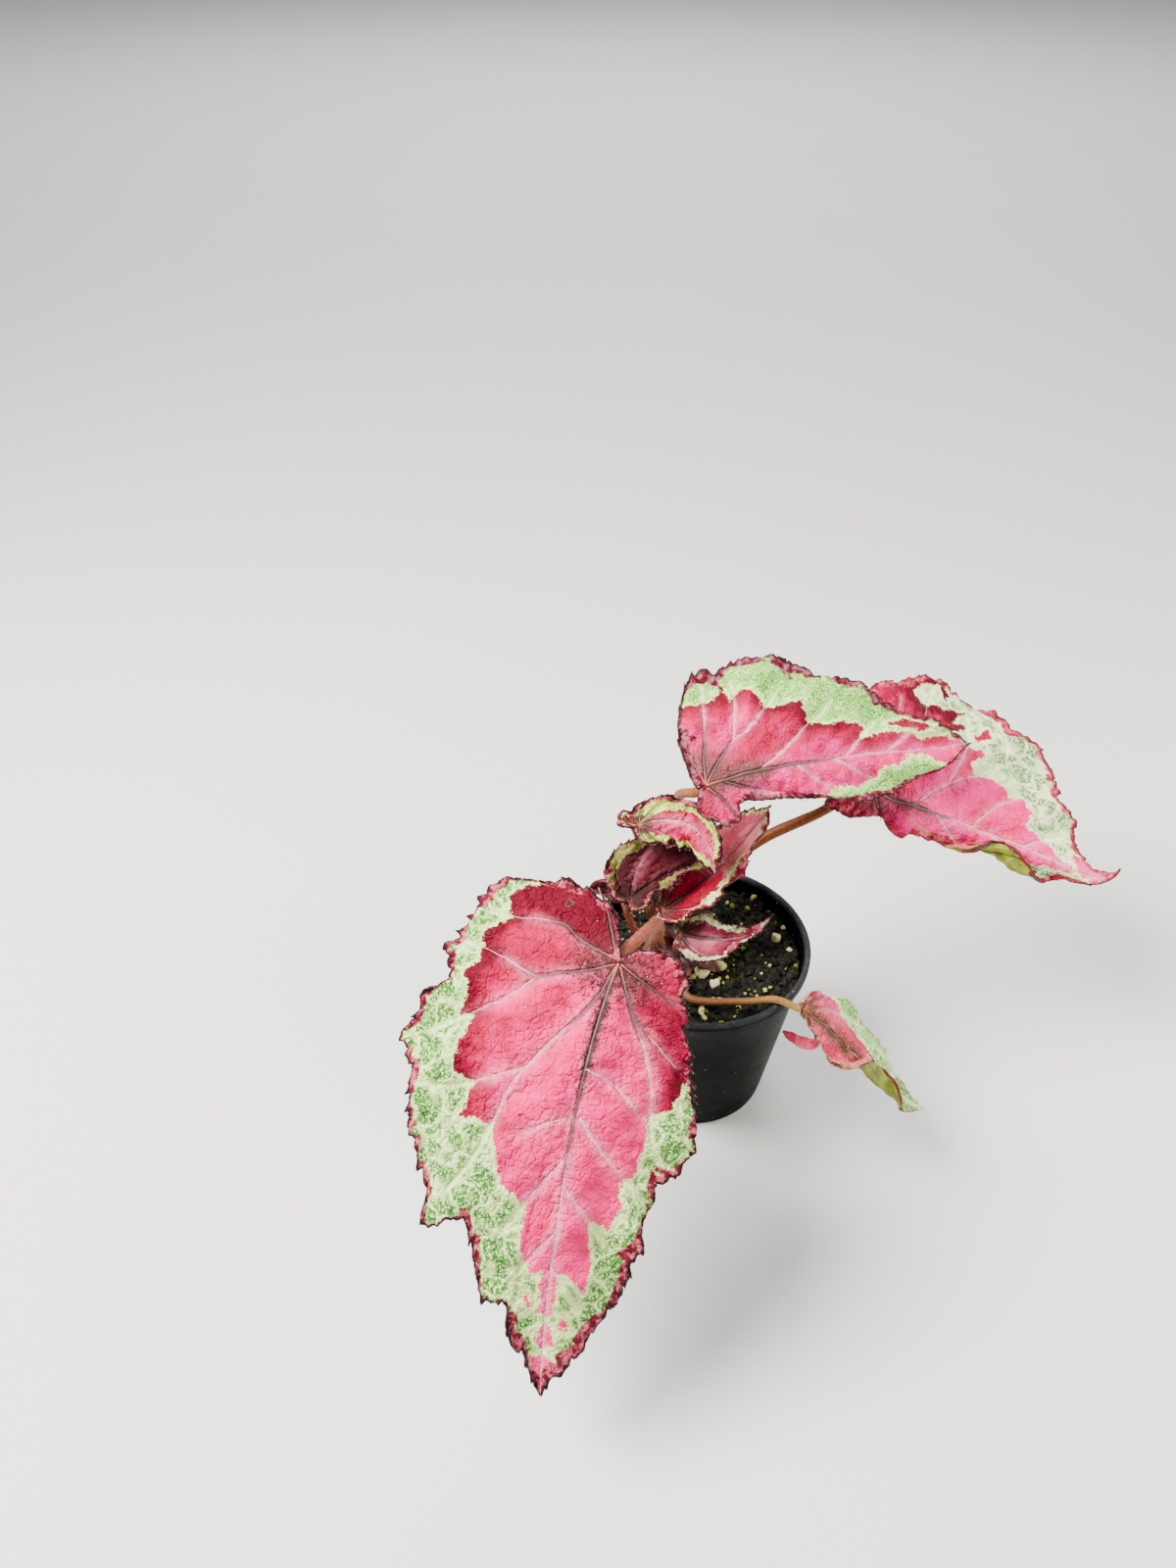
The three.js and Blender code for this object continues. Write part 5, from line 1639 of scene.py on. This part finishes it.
bm = fresh("kind")
GRAINS = [  # across and back in mm, size in mm, kind from 0, cream, to 1, green
    (-1.4, -11.2, 2.5, 0.1), (1.2, -11.8, 2.5, 0.1), (8.6, -9, 2.8, 0.35),
    (5.2, -19.5, 2.5, 0.1), (-4, -15, 1.7, 0.85), (-1.5, -34, 1.9, 0.3),
    (6.8, -29, 1.6, 0.4), (7, -41, 2, 0.95), (36.5, 8.5, 2.4, 0.2), (42, 2.5, 1.3, 0.1),
    (40.7, 16.5, 1.4, 0.5), (15, -31, 1.2, 0.2), (29, 36, 1.7, 0.6), (25, 28, 1.8, 0.8),
    (28, -22, 1.3, 0.4), (20, 2, 1.4, 0.9)]
placed = len(GRAINS)
for k in range(TRIES):
    turn, radius = rng.uniform(0, 2 * math.pi), 45 * math.sqrt(rng.uniform(0.02, 1))
    x, y = radius * math.cos(turn), radius * math.sin(turn)
    size, kind = min(0.4 + rng.gamma(1.6, 0.26), 1.8), rng.uniform(0.1, 1.2)
    if wander(np.array([[x, y]]), 15, 41)[0] > 0.05:  # inside a drift
        GRAINS.append((x, y, size, kind))
for k, (x, y, size, kind) in enumerate(GRAINS):
    fine = 3 if k < placed else 2
    verts = lump(bm, x, y, soil_height(x, y) + 0.45 * size, size, 900 + k, fine)
    carry(bm, verts, kind=[kind] * len(verts))
grains = piece("pale_grains", bm, [grain])
print("crumbs and grains:", len(crumbs.data.polygons), len(grains.data.polygons))

# %% [markdown]
# ## Black plastic
# The pot is black and dull. A thin grey band round its lip is a painted highlight, with a few
# real scuffs on it. Dust and dried splashes cling to the foot, and a few specks of grit have
# stuck to the wall. All of it is noise in the room's own measures, cut off by height, so no
# picture has to be drawn.

# %% Pot finish
f = Finish("black_plastic", 0.4)
place = f.room()
height_here = f.make("SeparateXYZ", {"Vector": place}, "Z")
low = f.step(height_here, 0.03, 0.004)
lip_highlight_band = f.step(height_here, 0.0872, 0.0892)
dust = f.step(f.noise(place, 260, 5, 0.7), 0.5, 0.72)
dust = f.sum("MULTIPLY", dust, f.sum("MULTIPLY_ADD", low, 0.3, 0.02))
colour = f.blend(f.step(f.noise(place, 30, 3), 0.35, 0.65), tone(0, 0, 0), tone(3, 3, 4))
# Painted highlight: the grey band round the top of the lip stands for light caught on the
# rolled lip.
colour = f.blend(lip_highlight_band, colour, tone(40, 43, 43))
colour = f.blend(dust, colour, tone(70, 62, 52))
scuff = f.step(f.noise(f.room((1, 1, 3)), 330, 4, 0.65), 0.5, 0.68)
colour = f.blend(f.sum("MULTIPLY", f.sum("MULTIPLY", scuff, lip_highlight_band), 0.25), colour,
                 tone(96, 98, 95))
specks = f.step(f.cells(place, 160), 0.085, 0.05)
colour = f.blend(f.sum("MULTIPLY", specks, 0.75), colour, tone(110, 104, 88))
rough = f.make("MapRange", {"Value": f.noise(place, 60, 4, 0.6), "To Min": 0.26,
                            "To Max": 0.5})
rough = f.sum("ADD", rough, f.sum("MULTIPLY", f.sum("ADD", scuff, low), 0.12))
black_plastic = f.done(colour, rough, f.bump(f.noise(place, 500, 4, 0.6), 0.25, 0.0003),
                       gloss=0.03)
print("pot finish:", black_plastic.name)

# %% [markdown]
# ## The pot
# A nursery pot is blown or pressed from thin black plastic: a tapered wall, a rolled lip and
# a flat foot with drain holes. Its half section is drawn once, as a row of points joined by
# edges, and spun about the upright axis. The foot is a ring and six circles filled between,
# and each hole is bridged through the floor.

# %% Pot
HOLES, HOLE_RING, HOLE_RADIUS = 6, 25, 4.2  # how many; mm
FLOOR = 1.6  # mm


def arc(centre, radius, start, end, steps):
    """Points of an arc in the half section, from start to end in degrees."""
    turns = np.radians(np.linspace(start, end, steps))
    return [(centre[0] + radius * math.cos(turn), centre[1] + radius * math.sin(turn))
            for turn in turns]


section = [(33.0, 0)] + arc((33.9, 1.7), 1.7, 270, 355, 6)
section += [(wall_radius(z), z) for z in (6, 20, 40, 60, 76.6)]
section += [(wall_radius(77.2) + 0.22, 77.4), (wall_radius(85) + 0.1, 85.0)]
section += arc((49.0, 86.2), 0.9, 270, 350, 4) + arc((49.1, 89.0), 0.9, 0, 90, 5)
section += arc((48.3, 89.2), 0.75, 100, 175, 4)
section += [(wall_radius(z) - 1.2, z) for z in (87, 80, 66.6)]
section += [(wall_radius(z) - 1.35, z) for z in (65.6, 40, 20)] + [(34.0, 3.6), (32.1, FLOOR)]
bm = bmesh.new()
points = [bm.verts.new((r * MM, 0, z * MM)) for r, z in section]
for first, second in zip(points[:-1], points[1:]):
    bm.edges.new((first, second))
bmesh.ops.spin(bm, geom=bm.verts[:] + bm.edges[:], cent=(0, 0, 0), axis=(0, 0, 1),
               angle=2 * math.pi, steps=144, use_merge=True)
floors = {0.0: [], FLOOR: []}
for level in floors:
    floors[level] += [e for e in bm.edges if e.is_boundary
                      and all(abs(v.co.z - level * MM) < 1e-6 for v in e.verts)]
for k in range(HOLES):
    turn = 2 * math.pi * (k + 0.5) / HOLES
    loops = []
    for level in floors:
        spot = Matrix.Translation((HOLE_RING * MM * math.cos(turn),
                                   HOLE_RING * MM * math.sin(turn), level * MM))
        made = bmesh.ops.create_circle(bm, segments=28, radius=HOLE_RADIUS * MM, matrix=spot)
        loop = list({e for v in made["verts"] for e in v.link_edges})
        floors[level] += loop
        loops += loop
    bmesh.ops.bridge_loops(bm, edges=loops)
for level, edges in floors.items():
    bmesh.ops.triangle_fill(bm, edges=edges, use_beauty=True,
                            normal=(0, 0, -1 if level == 0 else 1))
bmesh.ops.recalc_face_normals(bm, faces=bm.faces[:])
pot = piece("nursery_pot", bm, [black_plastic], replaces="pot")
print("pot faces:", len(pot.data.polygons))

# %% [markdown]
# ## Small marks of life
# Nothing that grew is spotless. The crimson lobe of the front leaf has two healed brown
# scars, a few grains of grit lie on the blades, and a dry rootlet crosses the soil beside the
# crown. Each is tiny, but the eye misses them when they are gone. They are made of the stones
# and tubes from above.

# %% Marks
bm = fresh("kind")
rng = np.random.default_rng(31)
for name, count in (("front", 22), ("upper", 8), ("right", 8)):
    leaf = LEAVES[name]
    for k in range(count):
        turn = rng.uniform(-170, 170)
        reach = float(on_margin(leaf, turn)) * rng.uniform(0.15, 0.85)
        a, b = flat_point(turn, reach)
        spot = on_blade(leaf, [a], [b], 0.42)[0][0]
        verts = lump(bm, *spot, rng.uniform(0.16, 0.38), k, 1)
        carry(bm, verts, kind=[rng.uniform(0, 0.7)] * len(verts))
grit = piece("grit", bm, [grain], smooth=False)

bm = fresh("fade")
for a, b, size in ((-16.5, 25.5, 1.5), (-24, 34, 0.9)):
    turn = np.linspace(0, 2 * np.pi, 25)
    ring = size * (1 + 0.15 * np.sin(3 * turn))
    path = on_blade(LEAVES["front"], a + ring * np.cos(turn), b + ring * np.sin(turn),
                    BLADE_WALL / 2)[0]
    tube(bm, path, np.full(len(path), 0.34 * size), 8)
scar_skin = skin_finish("scar_skin", tone(60, 20, 18), tone(110, 52, 36),
                        tone(150, 100, 70), 500)
scar = piece("scars", bm, [scar_skin])

bm = fresh("fade")
line = smooth_line([[-1, -4, 84], [3, -7, 83.6], [6, -11, 83.2], [9, -13, 82.4]], 40)
line = line + 0.25 * np.stack([wander(line, 5, k) for k in range(3)], 1)
tube(bm, line, np.full(len(line), 0.22), 6)
rootlet = piece("rootlet", bm, [paper_skin])
print("marks:", grit.name, scar.name, rootlet.name)

# %% [markdown]
# ## Floor and light
# The plant stands on a plain pale floor under soft studio light: a broad lamp above and to
# the left, a weaker one from the right that draws the edges of the leaves and the pot's lip,
# a third far behind for the floor there, and an even pale sky. Broad lamps keep the shadows
# soft, so the colours can be compared.

# %% Floor and light
bm = bmesh.new()
bmesh.ops.create_grid(bm, x_segments=2, y_segments=2, size=12)
mesh = bpy.data.meshes.new("floor")
bm.to_mesh(mesh)
bm.free()
floor = bpy.data.objects.new("floor", mesh)
scene.collection.objects.link(floor)
f = Finish("pale_floor", 0.7)
mesh.materials.append(f.done(f.blend(f.noise(f.room(), 3, 2), tone(226, 224, 220),
                                     tone(232, 231, 228))))


def lamp(name, place, target, size, power, tint):
    """A round lamp that faces its target; sizes are in metres, power in watts."""
    data = bpy.data.lights.new(name, "AREA")
    data.shape = "DISK"
    data.size = size
    data.energy = power
    data.color = tint
    made = bpy.data.objects.new(name, data)
    scene.collection.objects.link(made)
    made.location = place
    way = Vector(target) - Vector(place)
    made.rotation_euler = way.to_track_quat("-Z", "Y").to_euler()


middle = (0.02, -0.03, 0.12)
lamp("key", (-0.62, -0.12, 0.95), middle, 0.6, 41, (1, 0.99, 0.97))
lamp("side", (0.9, -0.1, 0.55), middle, 0.6, 12, (1, 1, 1))
lamp("back", (0, 2.6, 2.2), (0, 2.4, 0), 2.5, 90, (1, 1, 1))
world = bpy.data.worlds.new("studio")
world.use_nodes = True
world.node_tree.nodes["Background"].inputs["Color"].default_value = (0.93, 0.95, 1, 1)
world.node_tree.nodes["Background"].inputs["Strength"].default_value = 0.34
scene.world = world
